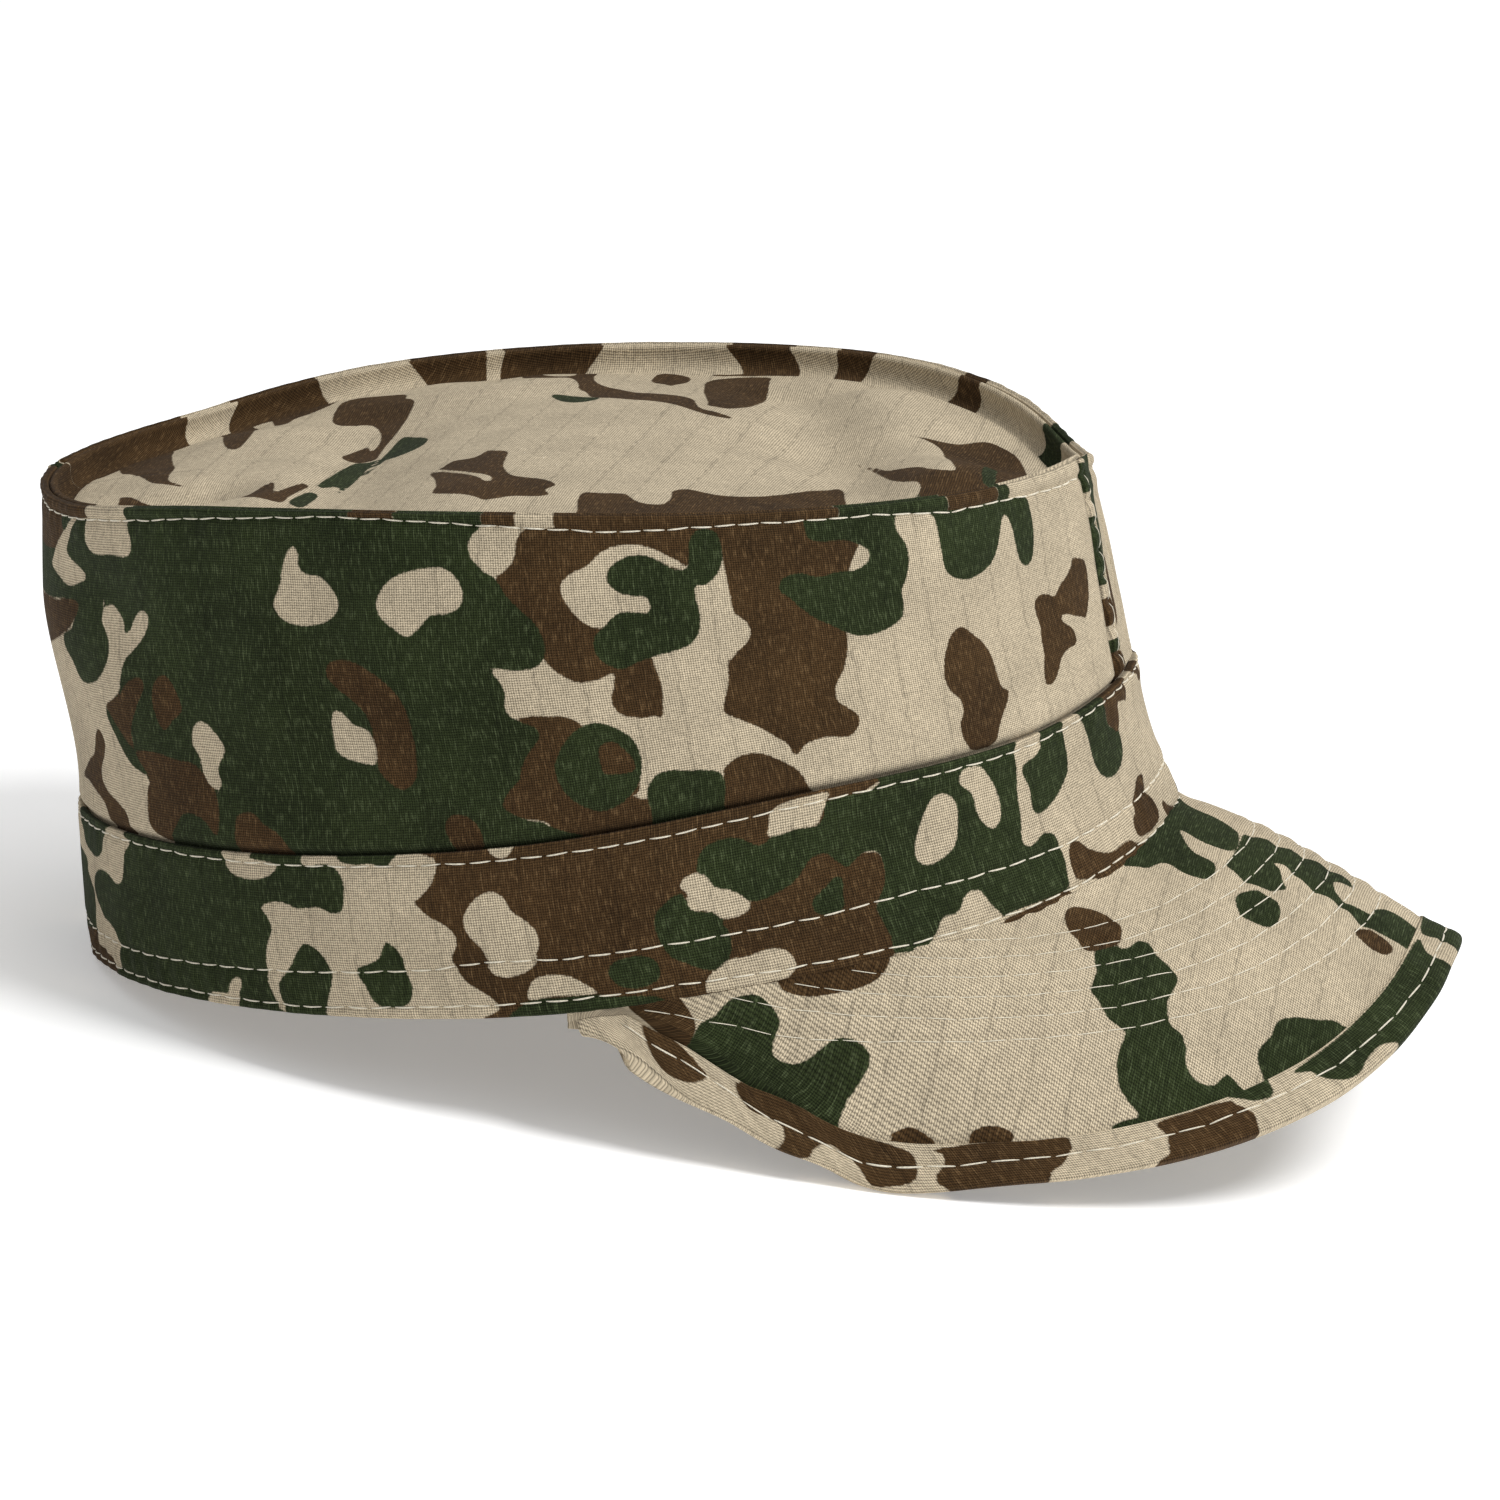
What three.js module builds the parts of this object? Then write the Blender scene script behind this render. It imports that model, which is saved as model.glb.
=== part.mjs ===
// Patrol cap: a flat-topped cloth crown on an upright band, with a stiff curved peak in front.
// Millimetres and degrees, +X to the front, +Y to the wearer's left, +Z up.
// The cap is drawn as it is worn, with its band's lower edge at the back at height 0.
// At the end it is pitched onto the back of the band and the two low sides of the peak, where it
// stands by itself, and its origin goes to the middle of the space it fills, on the ground.
//
// A turn runs round the head: 0 is the front, 90 the wearer's left, -90 the wearer's right.
// A level runs up the cap: 0 is the band's lower edge, 1 its upper edge, 2 the seam round the top.

import * as THREE from "three";

// Head opening, measured outside the band at its lower edge
const headLength = 207;
const headWidth = 172;

// Heights up the cap; the tables below give each one's share round the head
const bandHeight = 31.6;
const wallHeight = 62.9;
const rimRise = 31.9;

// How far each part leans in from the one below it; the back leans out
const bandFrontLean = 9;
const bandSideLean = 1;
const bandBackLean = 2;
const bandFlare = 1.6;
const crownFrontLean = 9.2;
const crownSideLean = 2.6;
const crownOverhang = 6.5;
const overhangFrom = 0.05;
const overhangTo = 0.68;

// Cloth and the gap left between neighbouring pieces
const bandCloth = 1.6;
const wallCloth = 1.4;
const topCloth = 1.4;
const hemCloth = 1;
const clearance = 0.3;

// Seams
const bandLap = 8;
const bandStep = 0.5;
const bulgeHeight = 3;
const seamWidth = 7;
const seamStand = 0.6;
const ridgeDepth = 5;

// Top panel; the folds fade out towards its edge, the sooner the smaller foldFade is
const topDome = 3;
const foldHeight = 2.6;
const foldFade = 3;
const waveHeight = 4;

// Soft dents pressed into the side walls
const dentDepth = 3;

// Peak; its arch is highest halfway out where peakArchLean is 1, and nearer the band where it is less
const peakReach = 52.5;
const peakFlare = 3;
const peakSquareness = 0.85;
const peakDrop = 36.7;
const peakArch = 3.6;
const peakArchLean = 0.7;
const peakCorner = 87;
const peakBoard = 2.4;
const hemWidth = 8.5;
const hemShortest = 3.4;

// How deep the cloth gives way where the cap rests
const restGive = 0.4;

// Round the head, for both sides alike: how high the band's lower edge is, as a share of rimRise,
// and how high the band and the wall are there, as shares of bandHeight and wallHeight
const heights = [
  { turn: 0, rim: 1, band: 0.87, wall: 0.645 },
  { turn: 30, rim: 0.8, band: 0.937, wall: 0.717 },
  { turn: 60, rim: 0.586, band: 1, wall: 0.803 },
  { turn: 90, rim: 0.326, band: 0.968, wall: 0.951 },
  { turn: 120, rim: 0.166, band: 0.924, wall: 1 },
  { turn: 150, rim: 0.06, band: 0.905, wall: 0.96 },
  { turn: 180, rim: 0, band: 0.883, wall: 0.978 },
];

// The peak's outer edge, for both sides alike: how far it hangs below the band's lower edge,
// as a share of peakDrop
const peakEdge = [
  { turn: 0, drop: 0.62 },
  { turn: 15, drop: 0.735 },
  { turn: 30, drop: 0.865 },
  { turn: 45, drop: 0.955 },
  { turn: 60, drop: 0.96 },
  { turn: 75, drop: 0.85 },
  { turn: 90, drop: 0.06 },
];

// Waves of the crown's top edge: the middle's turn, how far the wave reaches round in degrees,
// and its height as a share of waveHeight, where a dip is negative
const waves = [
  { turn: 18, round: 15, high: -1.1 },
  { turn: 60, round: 20, high: 0.5 },
];

// Dents in the walls: the middle's turn and its height as a share of the wall, how far the dent
// reaches round in degrees and up as a share, how many degrees it leans over the wall's height,
// and its depth as a share of dentDepth, where a bulge is negative
const dents = [
  { turn: -140, up: 0.74, round: 9, tall: 0.16, lean: -30, depth: 0.8 },
  { turn: -123, up: 0.6, round: 7, tall: 0.22, lean: 26, depth: 0.6 },
  { turn: -108, up: 0.5, round: 5, tall: 0.5, lean: 0, depth: 0.4 },
  { turn: -84, up: 0.55, round: 15, tall: 0.45, lean: 0, depth: -0.5 },
  { turn: -60, up: 0.3, round: 9, tall: 0.28, lean: 12, depth: 0.6 },
  { turn: -24, up: 0.45, round: 8, tall: 0.4, lean: 6, depth: 0.6 },
  { turn: 28, up: 0.5, round: 9, tall: 0.4, lean: -6, depth: 0.5 },
  { turn: 66, up: 0.4, round: 11, tall: 0.3, lean: -14, depth: 0.6 },
  { turn: 96, up: 0.55, round: 14, tall: 0.45, lean: 0, depth: -0.4 },
  { turn: 130, up: 0.62, round: 9, tall: 0.24, lean: 22, depth: 0.7 },
  { turn: 162, up: 0.36, round: 11, tall: 0.3, lean: 0, depth: 0.4 },
];

// Folds of the top panel: where each runs from and to, as shares of the panel's half length and
// half width, how wide it is as a share of the half length, and its height as a share of foldHeight,
// where a crease is negative
const folds = [
  { fromX: -0.2, fromY: -0.85, toX: -0.3, toY: 0.7, wide: 0.1, high: -0.8 },
  { fromX: 0.02, fromY: -0.45, toX: 0.1, toY: 0.35, wide: 0.28, high: 0.9 },
  { fromX: 0.48, fromY: 0.66, toX: 0.75, toY: -0.1, wide: 0.12, high: 0.8 },
  { fromX: 0.36, fromY: 0.7, toX: 0.62, toY: -0.35, wide: 0.1, high: -0.8 },
  { fromX: -0.86, fromY: -0.4, toX: -0.66, toY: -0.25, wide: 0.1, high: -0.9 },
];

// How finely each piece is faceted
const ringColumns = 80;
const bandRows = 5;
const wallRows = 9;
const seamRows = 10;
const seamColumns = 2;
const topRings = 8;
const peakColumns = 46;
const columnDraw = 76;
const peakRows = 7;

// How far the foot of the wall, behind the band, lies inside the band's outer face
const footDepth = bandCloth + clearance;

const radians = THREE.MathUtils.degToRad;
const { clamp, lerp, smoothstep } = THREE.MathUtils;

// A smooth value from a table with a row every so many degrees, level at both of its ends
function around(table, column, turn) {
  const wide = table[1].turn - table[0].turn;
  const place = Math.abs(turn) / wide;
  const row = Math.min(Math.floor(place), table.length - 2);
  const value = (k) => {
    const inside = k < 0 ? -k : k > table.length - 1 ? 2 * (table.length - 1) - k : k;
    return table[inside][column];
  };
  const [before, from, to, after] = [value(row - 1), value(row), value(row + 1), value(row + 2)];
  const t = place - row;
  const slopeFrom = (to - before) / 2;
  const slopeTo = (after - from) / 2;
  const rise = to - from;
  return from + t * (slopeFrom + t * (3 * rise - 2 * slopeFrom - slopeTo + t * (slopeFrom + slopeTo - 2 * rise)));
}

// How many degrees one turn is from another, the short way round
function turnsApart(turn, other) {
  return THREE.MathUtils.euclideanModulo(turn - other + 180, 360) - 180;
}

// The cap's plan at a level, on its outer face: how far front, back and half width reach
function plan(level) {
  const inBand = 1 - (1 - clamp(level, 0, 1)) ** bandFlare;
  const inWall = clamp(level - 1, 0, 1);
  const swell = smoothstep(inWall, overhangFrom, overhangTo);
  return {
    front: headLength / 2 - bandFrontLean * inBand - crownFrontLean * inWall,
    back: headLength / 2 + bandBackLean * inBand + crownOverhang * swell,
    half: headWidth / 2 - bandSideLean * inBand - crownSideLean * inWall,
  };
}

// How deep the wall is pressed in at a place
function dentAt(turn, up) {
  let depth = 0;
  for (const dent of dents) {
    const across = (turnsApart(turn, dent.turn) - dent.lean * (up - dent.up)) / dent.round;
    const along = (up - dent.up) / dent.tall;
    depth += dent.depth * Math.exp(-across * across - along * along);
  }
  return dentDepth * depth * 4 * up * (1 - up);
}

function bandAt(turn) {
  return bandHeight * around(heights, "band", turn);
}

function wallAt(turn) {
  let wave = 0;
  for (const { turn: middle, round, high } of waves) {
    const away = turnsApart(turn, middle) / round;
    wave += high * Math.exp(-away * away);
  }
  return wallHeight * around(heights, "wall", turn) + waveHeight * wave;
}

function heightAt(turn, level) {
  const rim = rimRise * around(heights, "rim", turn);
  return rim + bandAt(turn) * Math.min(level, 1) + wallAt(turn) * Math.max(level - 1, 0);
}

// The level that lies a length in millimetres below the top seam
function levelBelowTop(turn, depth) {
  return 2 - depth / wallAt(turn);
}

// A place on the cap's outer face
function outerPlace(turn, level) {
  const { front, back, half } = plan(level);
  const a = radians(turn);
  const pressed = dentAt(turn, clamp(level - 1, 0, 1));
  const reach = (front + back) / 2 - pressed;
  return new THREE.Vector3(
    (front - back) / 2 + reach * Math.cos(a),
    (half - pressed) * Math.sin(a),
    heightAt(turn, level),
  );
}

// A place at a distance outside that face, or inside it where the distance is negative
function offFace(turn, level, distance) {
  const step = 0.01;
  const place = outerPlace(turn, level);
  const round = outerPlace(turn + step, level).sub(outerPlace(turn - step, level));
  const up = outerPlace(turn, level + step).sub(outerPlace(turn, level - step));
  return place.addScaledVector(round.cross(up).normalize(), distance);
}

// The same for the wall, which comes out over the band's upper edge from its foot behind the band
function offWall(turn, level, distance) {
  const out = clamp((level - 1) * wallAt(turn) / bulgeHeight, 0, 1);
  return offFace(turn, level, distance - lerp(footDepth, bandStep, out));
}

// A closed body's geometry from its corners and triangles, with its faces turned out
function bodyFrom(corners, triangles) {
  let volume = 0;
  for (const [a, b, c] of triangles) {
    volume += corners[a].dot(corners[b].clone().cross(corners[c]));
  }
  const turned = volume < 0 ? triangles.map(([a, b, c]) => [a, c, b]) : triangles;
  const geometry = new THREE.BufferGeometry();
  geometry.setAttribute("position", new THREE.Float32BufferAttribute(corners.flatMap((p) => p.toArray()), 3));
  geometry.setIndex(turned.flat());
  geometry.computeVertexNormals();
  return geometry;
}

// A sheet with two faces: outer and inner give a place for each column and row, and a sheet that
// wraps joins its last column to its first. A four-sided facet is split along the way that lies
// higher, so that a twisted sheet and one that lies against it are split alike.
function sheet(columns, rows, wraps, outer, inner) {
  const across = wraps ? columns : columns + 1;
  const corners = [];
  for (const face of [outer, inner]) {
    for (let i = 0; i < across; i += 1) {
      for (let j = 0; j <= rows; j += 1) corners.push(face(i, j));
    }
  }
  const corner = (side, i, j) => side * across * (rows + 1) + (i % across) * (rows + 1) + j;
  const triangles = [];
  const quad = (a, b, c, d) => {
    if (corners[a].z + corners[c].z > corners[b].z + corners[d].z) triangles.push([a, b, c], [a, c, d]);
    else triangles.push([a, b, d], [b, c, d]);
  };
  for (let i = 0; i < columns; i += 1) {
    for (let j = 0; j < rows; j += 1) {
      quad(corner(0, i, j), corner(0, i + 1, j), corner(0, i + 1, j + 1), corner(0, i, j + 1));
      quad(corner(1, i, j), corner(1, i, j + 1), corner(1, i + 1, j + 1), corner(1, i + 1, j));
    }
    quad(corner(0, i, 0), corner(1, i, 0), corner(1, i + 1, 0), corner(0, i + 1, 0));
    quad(corner(0, i, rows), corner(0, i + 1, rows), corner(1, i + 1, rows), corner(1, i, rows));
  }
  for (let j = 0; j < rows && !wraps; j += 1) {
    quad(corner(0, 0, j), corner(0, 0, j + 1), corner(1, 0, j + 1), corner(1, 0, j));
    quad(corner(0, columns, j), corner(1, columns, j), corner(1, columns, j + 1), corner(0, columns, j + 1));
  }
  return bodyFrom(corners, triangles);
}

// A body turned round the cap from a run of places, whose first and last lie on its middle
function turned(columns, run) {
  const runs = Array.from({ length: columns }, (_, i) => run((360 * i) / columns - 180));
  const rows = runs[0].length - 1;
  const corners = [runs[0][0], runs[0][rows]];
  for (const places of runs) corners.push(...places.slice(1, rows));
  const corner = (i, j) => {
    if (j === 0) return 0;
    if (j === rows) return 1;
    return 2 + (i % columns) * (rows - 1) + j - 1;
  };
  const triangles = [];
  for (let i = 0; i < columns; i += 1) {
    triangles.push([corner(i, 0), corner(i, 1), corner(i + 1, 1)]);
    for (let j = 1; j < rows - 1; j += 1) {
      triangles.push([corner(i, j), corner(i, j + 1), corner(i + 1, j + 1)]);
      triangles.push([corner(i, j), corner(i + 1, j + 1), corner(i + 1, j)]);
    }
    triangles.push([corner(i, rows - 1), corner(i, rows), corner(i + 1, rows - 1)]);
  }
  return bodyFrom(corners, triangles);
}

// The band: a strip round the head, outside the foot of the walls
function makeBand() {
  const face = (distance) => (i, j) => offFace((360 * i) / ringColumns - 180, j / bandRows, distance);
  return sheet(ringColumns, bandRows, true, face(0), face(-bandCloth));
}

// The turn at which the wall is a given distance to one side of the cap's middle line
function turnAtSide(level, aside) {
  return THREE.MathUtils.radToDeg(Math.asin(aside / plan(level).half));
}

// The levels of the walls' rows: the foot behind the band, the band's upper edge, the top of the
// bulge over it, and so up to the seam
function wallLevel(turn, j, rows) {
  const bulge = bulgeHeight / wallAt(turn);
  if (j === 0) return 1 - bandLap / bandAt(turn);
  return j === 1 ? 1 : lerp(1 + bulge, 2, (j - 2) / (rows - 2));
}

// One side wall, from the front seam to the back seam; side is 1 for the wearer's left
function makeSide(side) {
  const columns = ringColumns / 2;
  const face = (distance) => (i, j) => {
    const middleTurn = (180 * i) / columns;
    const level = wallLevel(middleTurn, j, wallRows);
    const edge = turnAtSide(level, seamWidth / 2 + clearance);
    return offWall(side * lerp(edge, 180 - edge, i / columns), level, distance);
  };
  return sheet(columns, wallRows, false, face(0), face(-wallCloth));
}

// A lapped seam up the middle of the front or the back; it stands proud above the band
function makeSeam(middleTurn) {
  const face = (stands, distance) => (i, j) => {
    const level = wallLevel(middleTurn, j, seamRows);
    const edge = turnAtSide(level, seamWidth / 2);
    const out = stands && j > 1 ? seamStand : distance;
    return offWall(middleTurn + lerp(-edge, edge, i / seamColumns), level, out);
  };
  return sheet(seamColumns, seamRows, false, face(true, 0), face(false, -wallCloth));
}

// How far the folds lift the top panel at a place given in shares of its half length and width
function foldAt(x, y) {
  let lift = 0;
  for (const fold of folds) {
    const run = new THREE.Vector2(fold.toX - fold.fromX, fold.toY - fold.fromY);
    const from = new THREE.Vector2(x - fold.fromX, y - fold.fromY);
    const along = clamp(from.dot(run) / run.lengthSq(), 0, 1);
    const away = from.addScaledVector(run, -along).length() / fold.wide;
    lift += fold.high * Math.exp(-away * away);
  }
  return foldHeight * lift;
}

// The top panel: a domed disc with a turned-up edge that lies against the walls' tops
function makeTop() {
  const { front, back, half } = plan(2);
  const middleX = (front - back) / 2;
  const sunk = ridgeDepth + topCloth;
  const mean = heights.reduce((sum, row) => sum + heightAt(row.turn, 2), 0) / heights.length;
  const outside = -(wallCloth + clearance);
  const inside = outside - topCloth;
  const disc = (turn, share, below) => {
    const edge = offWall(turn, levelBelowTop(turn, ridgeDepth), inside);
    const x = lerp(middleX, edge.x, share);
    const y = lerp(0, edge.y, share);
    const soft = 1 - share * share;
    const lift = foldAt((x - middleX) / ((front + back) / 2), y / half) * Math.min(1, foldFade * soft);
    const base = lerp(mean - ridgeDepth, edge.z, share * share);
    return new THREE.Vector3(x, y, base + topDome * soft + lift - below);
  };
  return turned(ringColumns, (turn) => {
    const above = Array.from({ length: topRings + 1 }, (_, k) => disc(turn, k / topRings, 0));
    const under = Array.from({ length: topRings }, (_, k) => disc(turn, k / topRings, topCloth));
    return [
      ...above,
      offWall(turn, 2, inside),
      offWall(turn, 2, outside),
      offWall(turn, levelBelowTop(turn, sunk), outside),
      ...under.reverse(),
    ];
  });
}

// A sine or cosine drawn towards a squarer outline than an ellipse's
function squared(value) {
  return Math.sign(value) * Math.abs(value) ** peakSquareness;
}

// The ends of the peak's board at a share across, -1 on the wearer's right and 1 on the left: its
// inner corner under the band and its outer corner
function boardEnds(across) {
  const inner = offFace(peakCorner * across, 0, -bandCloth);
  inner.z -= clearance;
  const turn = 90 * across;
  const cornerX = headLength / 2 * Math.cos(radians(peakCorner));
  const ends = clearance + hemCloth;
  const reach = headLength / 2 + peakReach - cornerX - ends;
  const spread = headWidth / 2 + peakFlare - ends;
  const outer = new THREE.Vector3(
    cornerX + reach * squared(Math.cos(radians(turn))),
    spread * squared(Math.sin(radians(turn))),
    inner.z - peakDrop * around(peakEdge, "drop", turn),
  );
  return { inner, outer };
}

// A place on the board's upper face, by its shares across and out from the band; along its middle
// the board is arched
function boardTop(across, out) {
  const { inner, outer } = boardEnds(across);
  const place = inner.lerp(outer, out);
  place.z += peakArch * Math.cos(radians(90 * across)) ** 2 * Math.sin(Math.PI * out ** peakArchLean);
  return place;
}

// A place at a depth through the board, and past its edge by a distance
function inBoard(across, out, depth, past) {
  const step = 0.001;
  const inside = Math.min(out, 1 - step);
  const round = boardTop(across + step, inside).sub(boardTop(across - step, inside));
  const way = boardTop(across, inside + step).sub(boardTop(across, Math.max(0, inside - step))).normalize();
  const up = way.clone().cross(round).normalize();
  return boardTop(across, out).addScaledVector(up, -depth).addScaledVector(way, past);
}

function boardLength(across) {
  const { inner, outer } = boardEnds(across);
  return inner.distanceTo(outer);
}

// How much of the board shows in front of the band
function shownLength(across) {
  return boardLength(across) - bandCloth - clearance;
}

// How far out the hem's inner edge lies on the board, as a share
function hemFold(across) {
  const width = Math.min(hemWidth - clearance - hemCloth, shownLength(across) - clearance);
  return 1 - Math.max(width, 0) / boardLength(across);
}

// The board's columns, as shares across: they draw together towards the corners, where the edge
// bends most
const drawn = radians(columnDraw);
const boardColumns = Array.from({ length: peakColumns + 1 }, (_, i) => {
  return Math.sin(drawn * ((2 * i) / peakColumns - 1)) / Math.sin(drawn);
});

// The board has even rows up to the hem's inner edge, and one more under the middle of the hem
function makePeak() {
  const face = (depth) => (i, j) => {
    const fold = hemFold(boardColumns[i]);
    const open = peakRows - 2;
    const out = j <= open ? (fold * j) / open : lerp(fold, 1, (j - open) / 2);
    return inBoard(boardColumns[i], out, depth, 0);
  };
  return sheet(peakColumns, peakRows, false, face(0), face(peakBoard));
}

// The hem: a strip folded round the peak's outer edge, as far as the board shows in front of the band
function makeHem() {
  const columns = boardColumns.filter((across) => shownLength(across) >= hemShortest);
  // The way round the board's edge: how far back from it, as a share of the hem's width, and which
  // face it lies on, 1 for the upper and -1 for the lower, with its corners rounded
  const path = [
    { back: 1, side: 1, past: 0, off: 1 },
    { back: 0.5, side: 1, past: 0, off: 1 },
    { back: 0, side: 1, past: 0.5, off: 0.85 },
    { back: 0, side: 0.4, past: 1, off: 0 },
    { back: 0, side: -0.4, past: 1, off: 0 },
    { back: 0, side: -1, past: 0.5, off: 0.85 },
    { back: 0.5, side: -1, past: 0, off: 1 },
    { back: 1, side: -1, past: 0, off: 1 },
  ];
  const face = (distance) => (i, j) => {
    const { back, side, past, off } = path[j];
    const depth = (peakBoard * (1 - side)) / 2 - Math.sign(side) * off * distance;
    return inBoard(columns[i], lerp(1, hemFold(columns[i]), back), depth, past * distance);
  };
  return sheet(columns.length - 1, path.length - 1, false, face(clearance + hemCloth), face(clearance));
}

const sand = 0xc9ba9e;
const brown = 0x583f2b;
const green = 0x26422a;

// The pieces, each with the colour that most of its cloth has
const pieces = [
  { name: "top", colour: sand, shape: makeTop() },
  { name: "side_right", colour: green, shape: makeSide(-1) },
  { name: "side_left", colour: green, shape: makeSide(1) },
  { name: "front_seam", colour: sand, shape: makeSeam(0) },
  { name: "back_seam", colour: green, shape: makeSeam(180) },
  { name: "band", colour: brown, shape: makeBand() },
  { name: "peak", colour: sand, shape: makePeak() },
  { name: "peak_hem", colour: brown, shape: makeHem() },
];

// The pitch at which the cap stands: seen from the side, the cap rests on the line under it that
// passes below the middle of the head opening
function restingPitch(places) {
  const sorted = places.map((p) => [p.x, p.z]).sort((a, b) => a[0] - b[0]);
  const under = [];
  for (const place of sorted) {
    while (under.length > 1) {
      const [a, b] = under.slice(-2);
      const bend = (b[0] - a[0]) * (place[1] - a[1]) - (b[1] - a[1]) * (place[0] - a[0]);
      if (bend > 0) break;
      under.pop();
    }
    under.push(place);
  }
  const front = under.findIndex((place) => place[0] > 0);
  const [rear, fore] = [under[front - 1], under[front]];
  return Math.atan2(fore[1] - rear[1], fore[0] - rear[0]);
}

function placesOf(geometry) {
  const position = geometry.getAttribute("position");
  return Array.from({ length: position.count }, (_, k) => new THREE.Vector3().fromBufferAttribute(position, k));
}

// Stands the cap on the ground: pitched, moved over its origin, and flattened where it rests
function settle(geometries) {
  const pitch = restingPitch(geometries.flatMap(placesOf));
  for (const geometry of geometries) geometry.rotateY(pitch);
  const space = new THREE.Box3().setFromPoints(geometries.flatMap(placesOf));
  const middle = space.getCenter(new THREE.Vector3());
  for (const geometry of geometries) {
    geometry.translate(-middle.x, -middle.y, -space.min.z - restGive);
    const position = geometry.getAttribute("position");
    for (let k = 0; k < position.count; k += 1) position.setZ(k, Math.max(0, position.getZ(k)));
    geometry.computeVertexNormals();
  }
}

settle(pieces.map((piece) => piece.shape));

const cap = new THREE.Group();
for (const piece of pieces) {
  const cloth = new THREE.MeshStandardMaterial({ color: piece.colour, roughness: 0.9, metalness: 0 });
  const mesh = new THREE.Mesh(piece.shape, cloth);
  mesh.name = piece.name;
  cap.add(mesh);
}

export default cap;
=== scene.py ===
"""Patrol cap in camouflage cloth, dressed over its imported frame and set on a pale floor."""
import math
import bmesh
import bpy
import numpy as np
from mathutils import Matrix, Vector


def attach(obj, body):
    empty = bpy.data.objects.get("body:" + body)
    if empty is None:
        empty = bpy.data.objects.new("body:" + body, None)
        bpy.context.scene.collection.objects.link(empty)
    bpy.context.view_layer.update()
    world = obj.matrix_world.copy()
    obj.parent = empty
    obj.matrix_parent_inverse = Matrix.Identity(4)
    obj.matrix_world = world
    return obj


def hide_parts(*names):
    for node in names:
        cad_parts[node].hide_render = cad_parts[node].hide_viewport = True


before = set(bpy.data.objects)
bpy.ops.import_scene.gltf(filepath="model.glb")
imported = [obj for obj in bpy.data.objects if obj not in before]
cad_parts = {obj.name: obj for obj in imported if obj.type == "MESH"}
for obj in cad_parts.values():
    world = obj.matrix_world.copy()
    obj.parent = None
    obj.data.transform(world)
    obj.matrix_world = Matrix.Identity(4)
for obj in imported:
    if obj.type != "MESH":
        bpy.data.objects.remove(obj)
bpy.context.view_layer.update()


# The camera. It looks at the cap's right side from a little ahead and a little above, 1.5 m away,
# and is turned with the cap's pitch. The cap stands left of the picture's middle.
cap_pitch = math.radians(6.75)
cap_shift = (-15.919, 0, 11.765)
lowest = 0.05


def rested(places):
    """Places on the cap as it is worn, in millimetres, turned to how it rests and given in metres.
    None lies below the floor."""
    across, up = math.cos(cap_pitch), math.sin(cap_pitch)
    x = places[..., 0] * across - places[..., 2] * up
    z = places[..., 0] * up + places[..., 2] * across
    moved = np.stack([x, places[..., 1], z], -1) + np.array(cap_shift)
    moved[..., 2] = np.maximum(moved[..., 2], lowest)
    return moved / 1000


view_turn, view_rise, view_distance, view_width = math.radians(11.5), math.radians(13.8), 1.5, 0.282
camera_right = Vector((math.cos(view_turn), math.sin(view_turn), 0))
camera_back = Vector((
    math.sin(view_turn) * math.cos(view_rise),
    -math.cos(view_turn) * math.cos(view_rise),
    math.sin(view_rise),
))
pitched = Matrix.Rotation(-cap_pitch, 3, "Y")
camera_right, camera_back = pitched @ camera_right, pitched @ camera_back
camera_data = bpy.data.cameras.new("camera")
camera_data.sensor_fit = "HORIZONTAL"
camera_data.angle = 2 * math.atan(view_width / 2 / view_distance)
camera_data.shift_x = 0.078
camera_data.shift_y = 0.0067
camera = bpy.data.objects.new("camera", camera_data)
bpy.context.collection.objects.link(camera)
looked_at = Vector(rested(np.array([0, 0, 36.9])))
axes = Matrix((camera_right, camera_back.cross(camera_right), camera_back)).transposed()
camera.matrix_world = Matrix.Translation(looked_at + camera_back * view_distance) @ axes.to_4x4()
bpy.context.scene.camera = camera
bpy.context.scene.view_settings.view_transform = "Standard"


# The band. A strip of cotton cloth 30 mm high round the head opening, folded in along both edges
# and stitched three times round, with its ends joined at the back. A turn of 0 degrees is the
# cap's front and -90 its right side; a level of 0 is the band's foot, 1 its top, 2 the top seam.
head_length, head_width = 207, 172
band_height, wall_height, rim_rise = 31.6, 62.9, 31.9
# Shares of those three heights, every 30 degrees from the front to the back
band_shares = (0.87, 0.937, 1, 0.968, 0.924, 0.905, 0.883)
wall_shares = (0.645, 0.717, 0.803, 0.951, 1, 0.96, 0.978)
rim_shares = (1, 0.8, 0.586, 0.326, 0.166, 0.06, 0)
# Waves of the top seam: turn, reach round, height in millimetres
top_waves = ((18, 15, -4.4), (60, 20, 2))
# Dents in the walls: turn, up, reach round, reach up, lean, depth in millimetres
wall_dents = (
    (-140, 0.74, 9, 0.16, -30, 2.4), (-123, 0.6, 7, 0.22, 26, 1.8), (-108, 0.5, 5, 0.5, 0, 1.2),
    (-84, 0.55, 15, 0.45, 0, -1.5), (-60, 0.3, 9, 0.28, 12, 1.8), (-24, 0.45, 8, 0.4, 6, 1.8),
    (28, 0.5, 9, 0.4, -6, 1.5), (66, 0.4, 11, 0.3, -14, 1.8), (96, 0.55, 14, 0.45, 0, -1.2),
    (130, 0.62, 9, 0.24, 22, 2.1), (162, 0.36, 11, 0.3, 0, 1.2),
)
# How far the band and the crown lean in at the front and the sides, and out at the back
band_front_lean, band_side_lean, band_back_lean, band_flare = 9, 1, 2, 1.6
crown_front_lean, crown_side_lean, crown_overhang = 9.2, 2.6, 6.5
band_cloth, cloth_gap = 1.6, 0.3


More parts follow.
